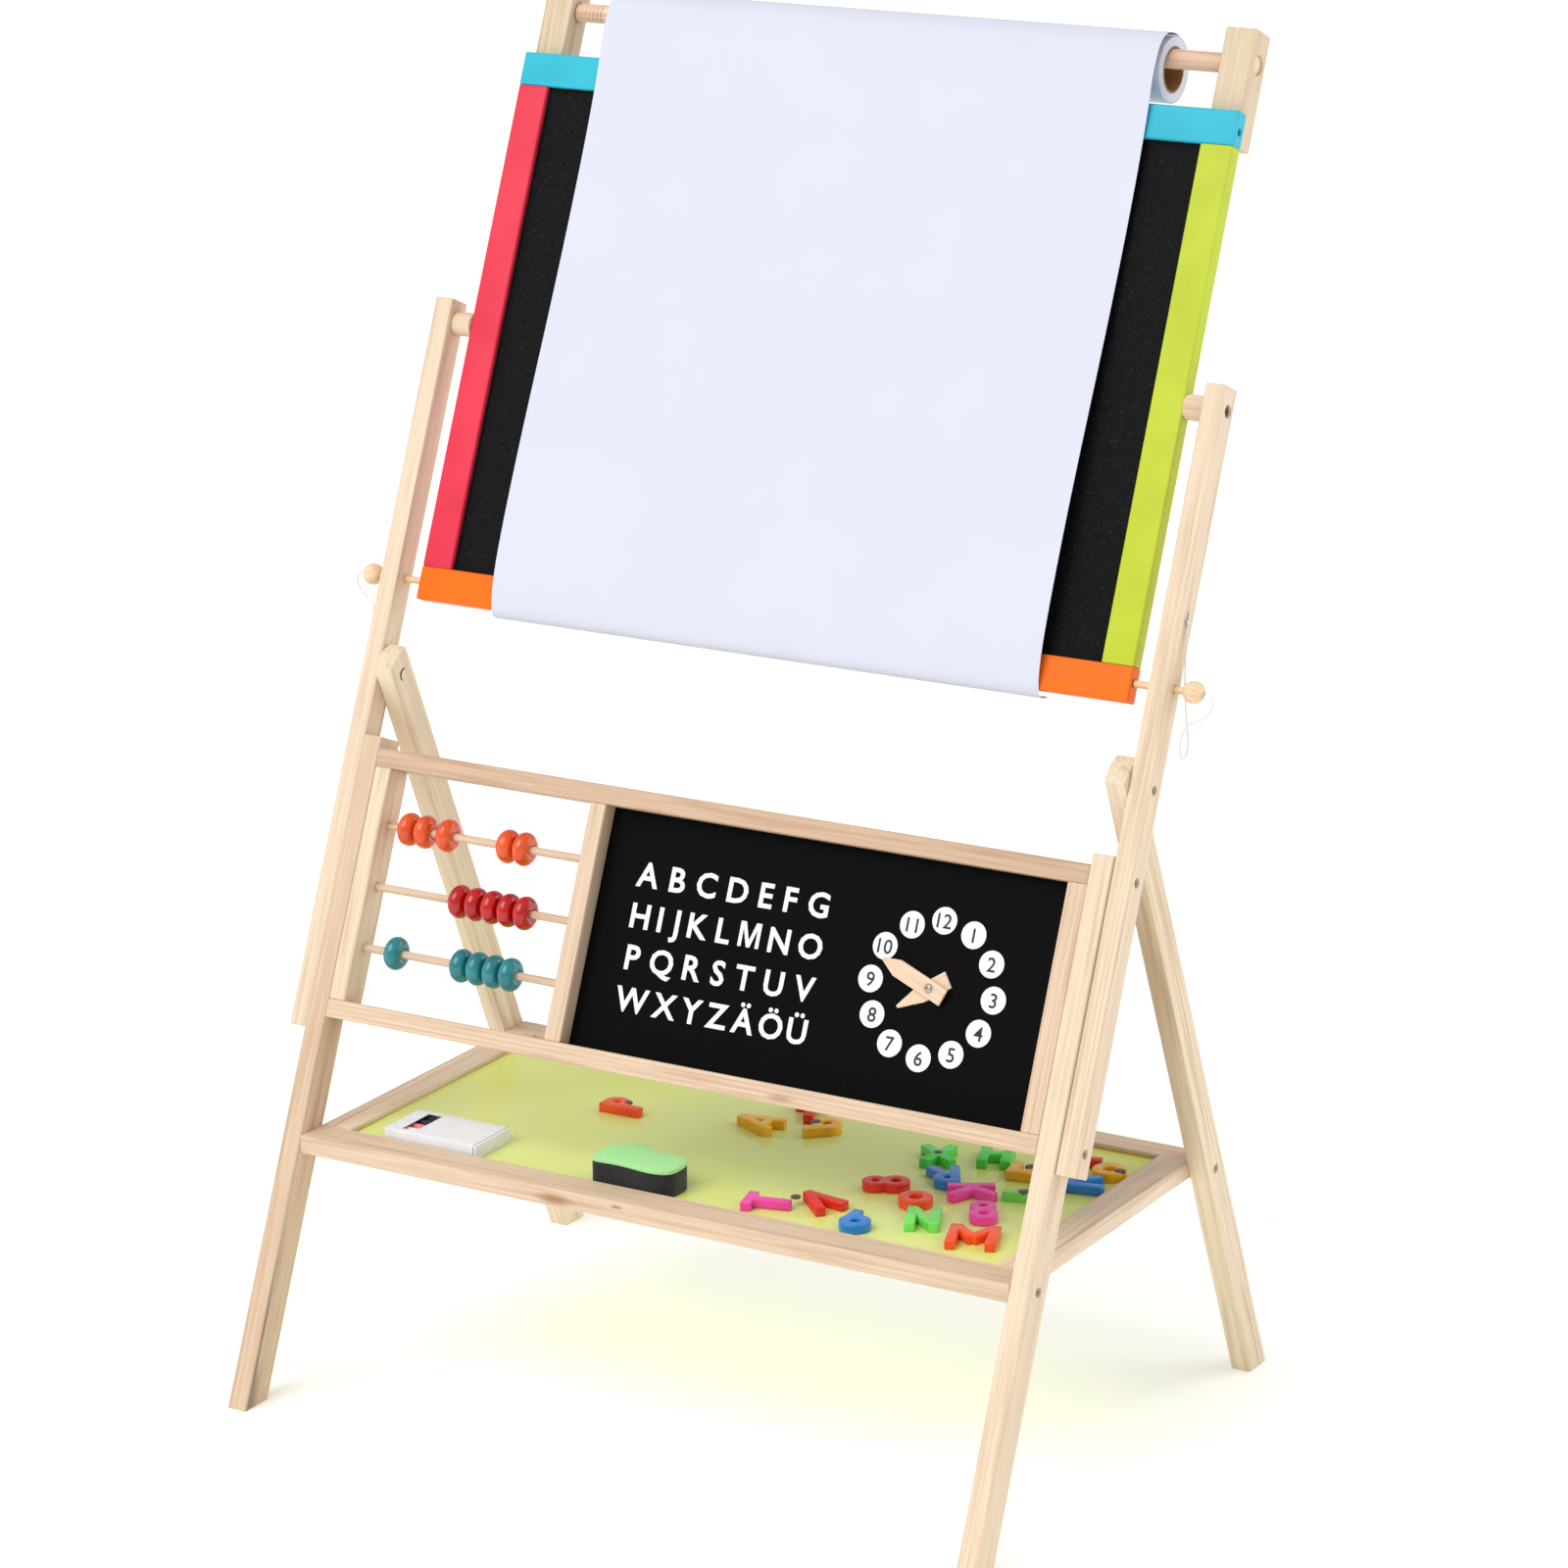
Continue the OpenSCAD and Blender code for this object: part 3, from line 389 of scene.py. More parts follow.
# ---- Bolts: zinc-plated socket-head bolts with barrel nuts hold the frame together; two staples
# of galvanised wire hold the cords, and a pine plug hides a nut in each rear leg.


def mottled(name, per_m, *tones, stops=(0.3, 0.7), detail=2.0, relief=None, skin=None, rough=None,
            **principled):
    """A finish whose tones drift into each other over a noise, so many cells to a metre. relief is how
    strongly it stands out and how many mm deep. skin is a finer noise that stands out instead: its
    cells to a metre, detail, strength and depth. rough is the range the finest noise gives the gloss."""
    material, tree, shader = new_material(name, **principled)
    spot = add(tree, "TexCoord").outputs["Object"]
    grains = add(tree, "TexNoise", {"Vector": spot, "Scale": per_m, "Detail": detail})
    ramp = [(stop, linear(tone)) for stop, tone in zip(stops, tones)]
    colour = add(tree, "ValToRGB", {"Fac": grains.outputs["Fac"]}, ramp=ramp)
    tree.links.new(colour.outputs["Color"], shader.inputs["Base Color"])
    if skin:
        grains = add(tree, "TexNoise", {"Vector": spot, "Scale": skin[0], "Detail": skin[1]})
        relief = skin[2:]
    if rough:
        gloss = add(tree, "MapRange", {"Value": grains.outputs["Fac"], "To Min": rough[0],
                                       "To Max": rough[1]})
        tree.links.new(gloss.outputs[0], shader.inputs["Roughness"])
    if relief:
        bump = add(tree, "Bump", {"Height": grains.outputs["Fac"], "Strength": relief[0],
                                  "Distance": relief[1] / 1000})
        tree.links.new(bump.outputs["Normal"], shader.inputs["Normal"])
    return material


def dressed(node, material):
    """Gives a CAD node its material."""
    data = frame["nodes"][node].data
    data.materials.clear()
    data.materials.append(material)


# zinc plate on steel: a fine frosted grey with a little yellow in it, kept much darker than bare zinc so that
# the bolts also paint the deep shade of their recesses
dressed("frame_bolts", mottled("zinc_plated_steel_darkened_for_shade", 900, "#4A4844", "#6E6B65", rough=(0.28, 0.46),
                               Metallic=1.0, Roughness=0.36))
# galvanised wire: brighter than the bolts, with pale spangles
dressed("cord_staples", mottled("galvanised_staple_wire", 1200, "#C9C7C2", "#E6E4DF", Metallic=1.0,
                                Roughness=0.3))
# a thin plug of the same pine is glued over each rear leg's nut, flush with the leg's inner face
INNER_HALF, REAR_BOLT_S, PLUG_R, PLUG_THICK = 292.5, 550, 4.4, 0.5
for side, sign in (("left", -1), ("right", 1)):
    plug = bmesh.new()
    bmesh.ops.create_cone(plug, cap_ends=True, segments=36, radius1=PLUG_R, radius2=PLUG_R,
                          depth=PLUG_THICK)
    break_edges(plug, 100, 1)
    plug.transform(LEANED @ Matrix.Translation((sign * (INNER_HALF + 0.3), PIVOT_LOCAL[1], REAR_BOLT_S))
                   @ Matrix.Rotation(math.pi / 2, 4, "Y"))
    same_pine = bpy.data.materials["lacquered_pine_%s_rear_leg" % side]
    finished("pine_plug_" + side, plug, same_pine, "pine_frame", "frame")

# ---- The tray: four rosy pine rails glued round a thin hardboard floor, which is rolled with a
# glossy lime lacquer. The floor mirrors the things that lie on it a little.
low, high = (Vector(c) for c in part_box("tray_front_rail"))
FRONT_KNOTS = [((-0.072, low.y, high.z - 0.008), 0.0035), ((-0.02, low.y, high.z - 0.004), 0.0012)]
for node, grain, colours in (("front_rail", ALONG_X, ROSY_PINE), ("rear_rail", ALONG_X, ROSY_PINE),
                             ("left_rail", ALONG_Y, PALE_PINE), ("right_rail", ALONG_Y, PALE_PINE)):
    wooden("tray_" + node, "frame", grain, colours, "pine_tray", ring_mm=4.6,
           knots=FRONT_KNOTS if node == "front_rail" else ())
# lime lacquer rolled on hardboard: cloudy over 20 cm, with a fine orange peel in its gloss
dressed("tray_panel", mottled("glossy_lime_lacquer", 5, "#DCE676", "#E8F09C", skin=(260, 1.0, 0.12, 0.2),
                              Roughness=0.14, Specular_IOR_Level=0.35))

# ---- The play panel: two pine rails and three stiles between the legs, with the abacus in the
# left bay and the letter board let into grooves in the right one.
DARK_PINE = ("#CFB298", "#C4A286", "#B69074")
wooden("panel_top_rail", "frame", ALONG_LEANED_X, DARK_PINE, ring_mm=3.8)
wooden("panel_bottom_rail", "frame", ALONG_LEANED_X, ROSY_PINE, ring_mm=3.8,
       knots=[(leaned(92, 0, 297), 0.003), (leaned(97, 0, 302), 0.0018)])
for node in ("left", "middle", "right"):
    wooden("panel_%s_stile" % node, "frame", ALONG_SLOPE, PALE_PINE if node == "left" else ROSY_PINE)

# ---- The letter board: hardboard screen-printed satin black, with the alphabet and the discs of a
# clock dial printed over it in white, and the numbers on the discs in black. Sizes are in mm.
BOARD_FACE_Y, INK = 12, 0.06
# satin black ink printed through a mesh: the mesh leaves a faint even tooth
dressed("letter_board", mottled("screen_printed_black", 700, "#070708", "#0D0D0F", stops=(0.3, 0.75),
                                relief=(0.1, 0.1), Roughness=0.35, Specular_IOR_Level=0.04))
# white ink: opaque, with the board's grey just felt through it
printed_white = mottled("screen_printed_white", 900, "#E6E8EA", "#F8F9FA", detail=1.0, Roughness=0.45)
# the capitals' height, their share of the font's size, how thick the font is drawn before it is
# brought to the ink's thickness, and the M's width
CAPITAL, CAP_SHARE, FONT_THICK, M_WIDE = 18, 0.729, 0.04, 17
BROAD_M = ((0, 0), (2.8, 0), (2.8, 13.6), (7.1, 0), (9.9, 0), (14.2, 13.6), (14.2, 0), (M_WIDE, 0),
           (M_WIDE, CAPITAL), (12.7, CAPITAL), (8.5, 4.9), (4.3, CAPITAL), (0, CAPITAL))


def glyph_mesh(what, height_mm, bold):
    """A letter or number as a thin plate of ink, its middle at the origin, drawn in x and y."""
    if what == "M":
        # drawn by its corners, as thickening the font's own M closes its inner angles
        shape = bmesh.new()
        corners = [shape.verts.new((x - M_WIDE / 2, y - CAPITAL / 2, -INK / 2)) for x, y in BROAD_M]
        plate = shape.faces.new(corners)
        top = bmesh.ops.extrude_face_region(shape, geom=[plate])["geom"]
        top = [g for g in top if isinstance(g, bmesh.types.BMVert)]
        bmesh.ops.translate(shape, verts=top, vec=(0, 0, INK))
        bmesh.ops.recalc_face_normals(shape, faces=shape.faces)
        return shape, M_WIDE
    curve = bpy.data.curves.new("ink", "FONT")
    curve.body = what
    curve.offset = bold
    curve.extrude = FONT_THICK / 2
    curve.resolution_u = 3
    obj = bpy.data.objects.new("ink", curve)
    scene.collection.objects.link(obj)
    bpy.context.view_layer.update()
    shape = bmesh.new()
    shape.from_mesh(obj.to_mesh())
    obj.to_mesh_clear()
    bpy.data.objects.remove(obj)
    xs = [v.co.x for v in shape.verts]
    centre = (min(xs) + max(xs)) / 2
    scale = height_mm / CAP_SHARE
    for v in shape.verts:
        middled = v.co - Vector((centre, CAP_SHARE / 2, 0))
        v.co = Vector((middled.x * scale, middled.y * scale, middled.z * INK / FONT_THICK))
    bmesh.ops.remove_doubles(shape, verts=shape.verts, dist=1e-4)
    return shape, (max(xs) - min(xs)) * scale


def onto_board(shape, x, s, proud):
    """Lays a shape drawn in x and y on the leaning board, a little proud of it."""
    face_up = Matrix.Rotation(math.pi / 2, 4, "X")
    shape.transform(LEANED @ Matrix.Translation((x, BOARD_FACE_Y - proud, s)) @ face_up)


def gathered(name, shapes, material, slot, body):
    """Joins bmeshes into one piece."""
    whole = bmesh.new()
    for shape in shapes:
        bit = bpy.data.meshes.new("bit")
        shape.to_mesh(bit)
        shape.free()
        whole.from_mesh(bit)
        bpy.data.meshes.remove(bit)
    return finished(name, whole, material, slot, body)


ROWS = (("ABCDEFG", -55.1, 85.1, 435.4), ("HIJKLMNO", -55.2, 84.8, 405.6),
        ("PQRSTUV", -54.7, 86.3, 375.6), ("WXYZÄÖÜ", -48.8, 87.0, 345.6))
alphabet = []
for row, first, last, s in ROWS:
    drawn = [glyph_mesh(letter, CAPITAL, 0.022) for letter in row]
    widths = [w for _, w in drawn]
    gap = (last - first - sum(widths) + (widths[0] + widths[-1]) / 2) / (len(row) - 1)
    x = first - widths[0] / 2
    for shape, width in drawn:
        onto_board(shape, x + width / 2, s, INK)
        alphabet.append(shape)
        x += width + gap
gathered("printed_alphabet", alphabet, printed_white, "letter_print", "frame")

DIAL_X, DIAL_S, DIAL_R, DISC_R, NUMBER = 184.5, 390.5, 48.3, 9.6, 10.5
discs, hours = [], []
for hour in range(1, 13):
    angle = math.radians(30 * hour)
    x, s = DIAL_X + DIAL_R * math.sin(angle), DIAL_S + DIAL_R * math.cos(angle)
    disc = bmesh.new()
    bmesh.ops.create_cone(disc, cap_ends=True, segments=40, radius1=DISC_R, radius2=DISC_R, depth=INK)
    onto_board(disc, x, s, INK)
    discs.append(disc)
    number, _ = glyph_mesh(str(hour), NUMBER, 0.01)
    onto_board(number, x, s, 2 * INK)
    hours.append(number)
gathered("printed_dial_discs", discs, printed_white, "letter_print", "frame")
# the numbers' ink: the same black as the board, a little less glossy
dial_black = mottled("printed_dial_numbers", 900, "#08080A", "#101013", detail=1.0, Roughness=0.4)
gathered("printed_dial_numbers", hours, dial_black, "letter_print", "frame")

# ---- The clock's hands: two plywood hands, back square and tip pointed, riveted through the board
# with a hollow rivet whose rolled rim shows as a small bright ring.
BIRCH = ("#E9CFB4", "#E0C2A3", "#D4B291")
for hand, points_to in (("hour", 125), ("minute", 69)):
    node = "clock_%s_hand" % hand
    shape = clean_copy(node)
    break_edges(shape, 0.35)
    ply = pine("birch_ply_" + hand, node, (LEAN, math.radians(points_to), 0), BIRCH, ring_mm=5.5)
    finished("plywood_%s_hand" % hand, shape, ply, "hand_wood", hand + "_hand", node, flats=True)
# nickel-plated steel with scuffs from the setting tool
rivet_steel = mottled("rolled_hollow_rivet", 1500, "#9E958A", "#D8D2C8", Metallic=1.0, Roughness=0.3)


def turned(shape, steps):
    """Spins a section drawn in x and z a whole turn round z, as a lathe does."""
    bmesh.ops.spin(shape, geom=shape.verts[:] + shape.edges[:], cent=(0, 0, 0), axis=(0, 0, 1),
                   angle=math.tau, steps=steps, use_merge=True)
    bmesh.ops.remove_doubles(shape, verts=shape.verts, dist=1e-3)
    bmesh.ops.recalc_face_normals(shape, faces=shape.faces)


rivet = bmesh.new()
# half the rivet's section, from the hollow middle over the rolled edge and down to the back rim
section = [(0, 5.3), (1, 5.3), (1.3, 6.3), (1.9, 6.65), (2.7, 6.4), (3.2, 5.7), (3.2, 5.45), (1.98, 5.4),
           (1.98, -3.2), (3.5, -3.2), (3.5, -4.2), (0, -4.2)]
points = [rivet.verts.new((r, 0, h)) for r, h in section]
for a, b in zip(points, points[1:]):
    rivet.edges.new((a, b))
turned(rivet, 28)
onto_board(rivet, DIAL_X, DIAL_S, 0)
finished("hollow_rivet", rivet, rivet_steel, "pin_metal", "frame", "clock_pin")

# ---- The abacus: three turned pine rods with fifteen lacquered beech rings on them.
dressed("abacus_rods", pine("sanded_rods", "abacus_rods", ALONG_LEANED_X, ROSY_PINE, ring_mm=2.6))
BEAD_MM, BEAD_THICK, BEAD_BORE = 25, 12.5, 6.2
for row, slot, pale, deep in (("top", "bead_orange", "#EC5C22", "#D94A14"),
                              ("middle", "bead_red", "#C3120F", "#A90C0D"),
                              ("bottom", "bead_teal", "#23878F", "#1A737B")):
    # dipped lacquer: it runs a little thinner over the rims, and is glossy under a clear top coat
    lacquer = mottled("dipped_lacquer_" + row, 70, deep, pale, skin=(420, 1.0, 0.15, 0.3), Roughness=0.22,
                      Specular_IOR_Level=0.35, Coat_Weight=0.5, Coat_Roughness=0.06)
    for n in range(1, 6):
        node = "bead_%s_%d" % (row, n)
        low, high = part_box(node)
        middle = (Vector(low) + Vector(high)) / 2
        ring = bmesh.new()
        tube = bmesh.ops.create_circle(ring, segments=24, radius=BEAD_THICK / 2)["verts"]
        bmesh.ops.translate(ring, verts=tube, vec=((BEAD_MM - BEAD_THICK) / 2, 0, 0))
        bmesh.ops.rotate(ring, verts=tube, cent=(0, 0, 0), matrix=Matrix.Rotation(math.pi / 2, 3, "X"))
        for v in tube:
            v.co.x = max(v.co.x, BEAD_BORE / 2)
        turned(ring, 48)
        ring.transform(Matrix.Translation(middle) @ Matrix.Rotation(math.pi / 2, 4, "Y") @ IN_MM)
        finished("ring_%s_%d" % (row, n), ring, lacquer, slot, node, node)

# ---- The swivel board: four painted bars round a blackboard at the front and a white marker board
# at the back. The bars are sprayed with satin colour, which lies a little thicker in patches.
for node, colour, thick, thin in (
        ("top_rail", "turquoise", "#35B8CE", "#2FADC4"), ("bottom_rail", "orange", "#F57208", "#EB6906"),
        ("left_stile", "red", "#E53B50", "#DB3247"), ("right_stile", "lime", "#BFCD38", "#B4C230")):
    shape = clean_copy("board_" + node)
    break_edges(shape, 1.0, 3)
    # sprayed satin enamel: patches of 4 to 5 cm, and droplets of 2 mm that break the gloss up
    paint = mottled("satin_%s_paint" % colour, 22, thin, thick, stops=(0.3, 0.65), detail=3.0,
                    skin=(520, 2.0, 0.2, 0.3), rough=(0.36, 0.5), Roughness=0.42, Specular_IOR_Level=0.22)
    finished("painted_" + node, shape, paint, "paint_" + colour, "board", "board_" + node, flats=True)

# ---- The two faces: hardboard rolled with blackboard paint, gritty so that it takes chalk, and
# hardboard faced with glossy white melamine for dry markers.
# matt black with grit of under 2 mm, drawn coarser than it is so that it shows; its lightest tone is a
# painted glint on a few grains
dressed("chalkboard", mottled("gritty_blackboard_paint_with_painted_glints", 620, "#0C0C0D", "#131315", "#2C2C30",
                              stops=(0.35, 0.6, 0.76), relief=(0.5, 0.5), Roughness=0.62,
                              Specular_IOR_Level=0.08))
# melamine film pressed on hardboard: glossy white over a slow orange peel
dressed("whiteboard", mottled("white_melamine", 9, "#F1F2F3", "#F7F8F9", skin=(150, 2.0, 0.08, 0.2),
                              Roughness=0.14, Coat_Weight=0.4, Coat_Roughness=0.05))

# ---- Spacers and lock pegs: turned pine. The spacers keep the board off the uprights; a ball on
# each peg gives the fingers a hold, and the cord is glued into its outer end.
WARM_PINE = ("#F0D3B0", "#E5BF95", "#D8A878")
for side in ("left", "right"):
    node = side + "_pivot_spacer"
    shape = clean_copy(node)
    break_edges(shape, 0.5)
    finished("turned_%s_spacer" % side, shape, pine("turned_spacer_" + side, node, ALONG_X, PALE_PINE),
             "pine_frame", "frame", node)
    node = side + "_lock_peg"
    dressed(node, pine("turned_peg_" + side, node, ALONG_X, WARM_PINE, ring_mm=3.0))

# ---- The roll holder: two square pine posts screwed to the back of the board's top bar, and a
# dowel that goes through both. Its left end has a turned wooden thread.
POST_PINE = ("#DAC7AC", "#CEB492", "#BFA17C")
SANDED_PINE = ("#F0D2B9", "#E6C4A8", "#D9B093")
for side in ("left", "right"):
    wooden(side + "_roll_post", "board", ALONG_SLOPE, POST_PINE, width=1.1, ring_mm=4.0)
DOWEL_R, THREAD_ROOT, THREAD_PITCH, THREAD_LONG, THREAD_STEPS = 7, 5.8, 3.4, 48, 132
LEAD_IN, CHAMFER, SET_BACK = 0.8, 0.9, 1.6
low, high = (Vector(c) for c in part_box("roll_dowel"))
dowel_middle = (low + high) / 2
dowel_half = (high.x - low.x) * 500
dowel = bmesh.new()
end = bmesh.ops.create_circle(dowel, cap_ends=True, segments=36, radius=DOWEL_R)["verts"]
bmesh.ops.translate(dowel, verts=end, vec=(0, 0, -dowel_half))
stations = [LEAD_IN + (THREAD_LONG - LEAD_IN) * k / THREAD_STEPS for k in range(THREAD_STEPS)]
right_end = 2 * dowel_half - SET_BACK
stations += [THREAD_LONG, THREAD_LONG + 1.2, right_end - LEAD_IN, right_end]
front = dowel.faces[:]
here = 0
for station in stations:
    grown = bmesh.ops.extrude_face_region(dowel, geom=front)["geom"]
    moved = [g for g in grown if isinstance(g, bmesh.types.BMVert)]
    front = [g for g in grown if isinstance(g, bmesh.types.BMFace)]
    bmesh.ops.translate(dowel, verts=moved, vec=(0, 0, station - here))
    here = station
bmesh.ops.recalc_face_normals(dowel, faces=dowel.faces)
# each extrusion leaves its cap behind inside the rod; only the caps of the two ends are kept
inner_caps = [f for f in dowel.faces if len(f.verts) > 4
              and 0.01 < f.calc_center_median().z + dowel_half < right_end - 0.01]
bmesh.ops.delete(dowel, geom=inner_caps, context="FACES_ONLY")
for v in dowel.verts:
    along = v.co.z + dowel_half
    turn = math.atan2(v.co.y, v.co.x) / math.tau
    radius = DOWEL_R
    # a V thread with its crests cut flat
    if 0.5 < along < THREAD_LONG + 0.5:
        wave = abs(((along / THREAD_PITCH + turn) % 1) * 2 - 1)
        radius = THREAD_ROOT + (DOWEL_R - THREAD_ROOT) * min(1, 1.35 * wave)
    if along < LEAD_IN / 2 or along > right_end - LEAD_IN / 2:
        radius = DOWEL_R - CHAMFER
    v.co.x, v.co.y = v.co.x * radius / DOWEL_R, v.co.y * radius / DOWEL_R
dowel.transform(Matrix.Translation(dowel_middle) @ Matrix.Rotation(math.pi / 2, 4, "Y") @ IN_MM)
sanded = pine("sanded_dowel", "roll_dowel", ALONG_X, SANDED_PINE, ring_mm=3.2)
finished("threaded_dowel", dowel, sanded, "turned_pine", "dowel", "roll_dowel", crease=50)

# ---- The paper roll: drawing paper wound on a brown card tube. Its ends show the edges of the
# windings, a few of them standing proud, and the outermost turn is loose.
ROLL_HALF, ROLL_IN, ROLL_OUT = 225, 16.6, 23.0
low, high = (Vector(c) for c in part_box("paper_core"))
roll_middle = (low + high) / 2
ON_ROLL = Matrix.Translation(roll_middle) @ Matrix.Rotation(math.pi / 2, 4, "Y") @ IN_MM
# raw kraft board wound into a tube: mid brown, with darker fibres
dressed("paper_core", mottled("wound_kraft_board", 600, "#7E5A3C", "#A67C56", detail=3.0, relief=(0.4, 0.3),
                              Roughness=0.8))
# uncoated drawing paper: matt and bright, a touch blue, cloudy over 7 cm, with a fine tooth
paper = mottled("uncoated_drawing_paper", 14, "#D2D5E2", "#D5D8E4", skin=(900, 2.0, 0.12, 0.2),
                Roughness=0.82)
wound = bmesh.new()
SUNK = (0, 0.25, 0.05, 0.35, 0.1, 0.3, 0, 0.4, 0.15, 0.05)
winding = (ROLL_OUT - ROLL_IN) / (len(SUNK) - 1)
ends = [(ROLL_IN + winding * k, ROLL_HALF - 0.1 - sunk) for k, sunk in enumerate(SUNK)]
section = ends + [(r, -h) for r, h in reversed(ends)]
points = [wound.verts.new((r, 0, h)) for r, h in section]
for i, point in enumerate(points):
    wound.edges.new((point, points[(i + 1) % len(points)]))
turned(wound, 72)
wound.transform(ON_ROLL)
finished("wound_paper", wound, paper, "drawing_paper", "roll", "paper_roll", crease=25)
loose_turn = bmesh.new()
LOOSE_IN, LOOSE_OUT, LOOSE_SPAN, LOOSE_FROM = 23.3, 23.7, math.radians(318), math.radians(205)
corners = [(LOOSE_IN, ROLL_HALF), (LOOSE_OUT, ROLL_HALF), (LOOSE_OUT, -ROLL_HALF), (LOOSE_IN, -ROLL_HALF)]
first = loose_turn.faces.new([loose_turn.verts.new((r, 0, h)) for r, h in corners])
bmesh.ops.spin(loose_turn, geom=[first], cent=(0, 0, 0), axis=(0, 0, 1), angle=LOOSE_SPAN, steps=60)
bmesh.ops.recalc_face_normals(loose_turn, faces=loose_turn.faces)
loose_turn.transform(ON_ROLL @ Matrix.Rotation(LOOSE_FROM, 4, "Z"))
finished("loose_outer_turn", loose_turn, paper, "drawing_paper", "roll", crease=25)

# ---- The free sheet: the same paper pulled up over the roll, down the front of the board, and
# round the lower bar. It bulges a little where it isn't held, and its edges lift by a few tenths.
# OVER gives its angle round the roll and its gap from it; DOWN its y and its share of the board's
# height; UNDER its y and its height above the board's lower edge.
OVER = ((0, 0.8), (18, 1.7), (28, 2.8), (42, 5), (55, 5.7), (69, 6.1), (86, 5.9), (106, 7.9), (122, 11.6))
DOWN = ((1.6, 1.003), (2.8, 0.97), (4, 0.922), (4.9, 0.85), (5.2, 0.754), (4.4, 0.621), (2.6, 0.501),
        (0.2, 0.381), (-1.6, 0.273), (-2.4, 0.177), (-2.2, 0.109), (-1.2, 0.066))
UNDER = ((0.6, 14.5), (3.4, 4), (7.4, -3), (12.6, -5), (18.4, -4.4), (23, -2.6))
ROLL_R, BOARD_LOW, BOARD_TALL = 24, 606.5, 416
roll_y, roll_s = (LEANED.inverted() @ roll_middle).yz
profile = []
for degrees, gap in OVER:
    turn = math.radians(degrees)
    profile.append((0, roll_y - (ROLL_R + gap) * math.sin(turn), roll_s + (ROLL_R + gap) * math.cos(turn)))
profile += [(0, y, BOARD_LOW + t * BOARD_TALL) for y, t in DOWN]
profile += [(0, y, BOARD_LOW + s) for y, s in UNDER]
profile = smooth_line(profile, 5)
SHEET_W, SHEET_T, COLUMNS = 450, 0.3, 36
FREE_FROM, FREE_LONG, WAVE, WAVE_LONG, EDGE_LIFT = 610, 400, 1.0, 700, 0.6
sheet = bmesh.new()
rows = []
for p in profile:
    row = []
    for c in range(COLUMNS + 1):
        u = c / COLUMNS
        # a slow wave across the free part, outwards only, and edges that lift
        free = math.sin(math.pi * max(0, min(1, (p.z - FREE_FROM) / FREE_LONG))) ** 2
        wave = WAVE / 2 * (1 - math.cos(math.tau * (1.5 * u + p.z / WAVE_LONG)))
        edge = EDGE_LIFT * 10 * max(0, abs(u - 0.5) - 0.4)
        row.append(sheet.verts.new(((u - 0.5) * SHEET_W, p.y - free * (wave + edge), p.z)))
    rows.append(row)
for upper, lower in zip(rows, rows[1:]):
    for c in range(COLUMNS):
        sheet.faces.new((upper[c], lower[c], lower[c + 1], upper[c + 1]))
# solidify pushes along the normals, so they are worked out first
sheet.normal_update()
bmesh.ops.solidify(sheet, geom=sheet.faces[:], thickness=SHEET_T)
bmesh.ops.recalc_face_normals(sheet, faces=sheet.faces)
sheet.transform(LEANED)
sheet_piece = finished("drawing_sheet", sheet, paper, "drawing_paper", "board", "paper_sheet", crease=30)

# ---- The chalks: a folded box of coated white card with a window cut in its top, and sticks of
# coloured chalk inside, the two at the back dark as painted shade. The end flap closes with a seam whose
# shadow is painted as a dark line.
low, high = (Vector(c) * 1000 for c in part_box("chalk_box"))
WALL, FOLD = 0.6, 0.7
WINDOW_X, WINDOW_Y = (12, 24), (5.5, 41)
box = high - low
card = bmesh.new()
bmesh.ops.create_cube(card, size=1)
bmesh.ops.scale(card, verts=card.verts, vec=box)
bmesh.ops.translate(card, verts=card.verts, vec=box / 2)
bmesh.ops.bevel(card, geom=card.edges[:], offset=FOLD, offset_type="OFFSET", segments=3, profile=0.5,
                affect="EDGES", clamp_overlap=True, material=-1)
for place, across in [((x, 0, 0), (1, 0, 0)) for x in WINDOW_X] + [((0, y, 0), (0, 1, 0)) for y in WINDOW_Y]:
    bmesh.ops.bisect_plane(card, geom=card.verts[:] + card.edges[:] + card.faces[:], plane_co=place,
                           plane_no=across)
hole = [f for f in card.faces if f.normal.z > 0.9 and WINDOW_X[0] < f.calc_center_median().x < WINDOW_X[1]
        and WINDOW_Y[0] < f.calc_center_median().y < WINDOW_Y[1]]
bmesh.ops.delete(card, geom=hole, context="FACES")
bmesh.ops.recalc_face_normals(card, faces=card.faces)
bmesh.ops.solidify(card, geom=card.faces[:], thickness=WALL)
bmesh.ops.recalc_face_normals(card, faces=card.faces)
IN_BOX = IN_MM @ Matrix.Translation(low)
card.transform(IN_BOX)
# coated white card: a thin clay coat over grey board, whose fibres show as a slight unevenness
coated_card = mottled("coated_white_card", 160, "#E6E6EA", "#EFEFF3", detail=3.0, relief=(0.1, 0.3),
                      Roughness=0.42, Coat_Weight=0.2, Coat_Roughness=0.3)
finished("folded_card_box", card, coated_card, "box_card", "chalks", "chalk_box", flats=True)
# painted shadow in the seams: thin strips, nearly black
seam_shadow = mottled("open_seam_shadow", 500, "#26262B", "#3B3B42", Roughness=0.9)
seam_shadow_strips = bmesh.new()
FLAP_X, LINE = 77.8, 0.1
for size_mm, at in (((0.5, box.y - 1.2, LINE), (FLAP_X, box.y / 2, box.z)),
                    ((0.5, LINE, box.z - 1.2), (FLAP_X, 0, box.z / 2)),
                    ((box.x - 3, LINE, 0.35), (box.x / 2, 0, 0.75))):
    line = bmesh.ops.create_cube(seam_shadow_strips, size=1)["verts"]
    bmesh.ops.scale(seam_shadow_strips, verts=line, vec=size_mm)
    bmesh.ops.translate(seam_shadow_strips, verts=line, vec=at)
seam_shadow_strips.transform(IN_BOX)
finished("box_seam_shadows", seam_shadow_strips, seam_shadow, "box_card", "chalks")
CHALK_R, CHALK_LONG, CHALK_APART, CHALK_X = 4.1, 74, 8.9, 40
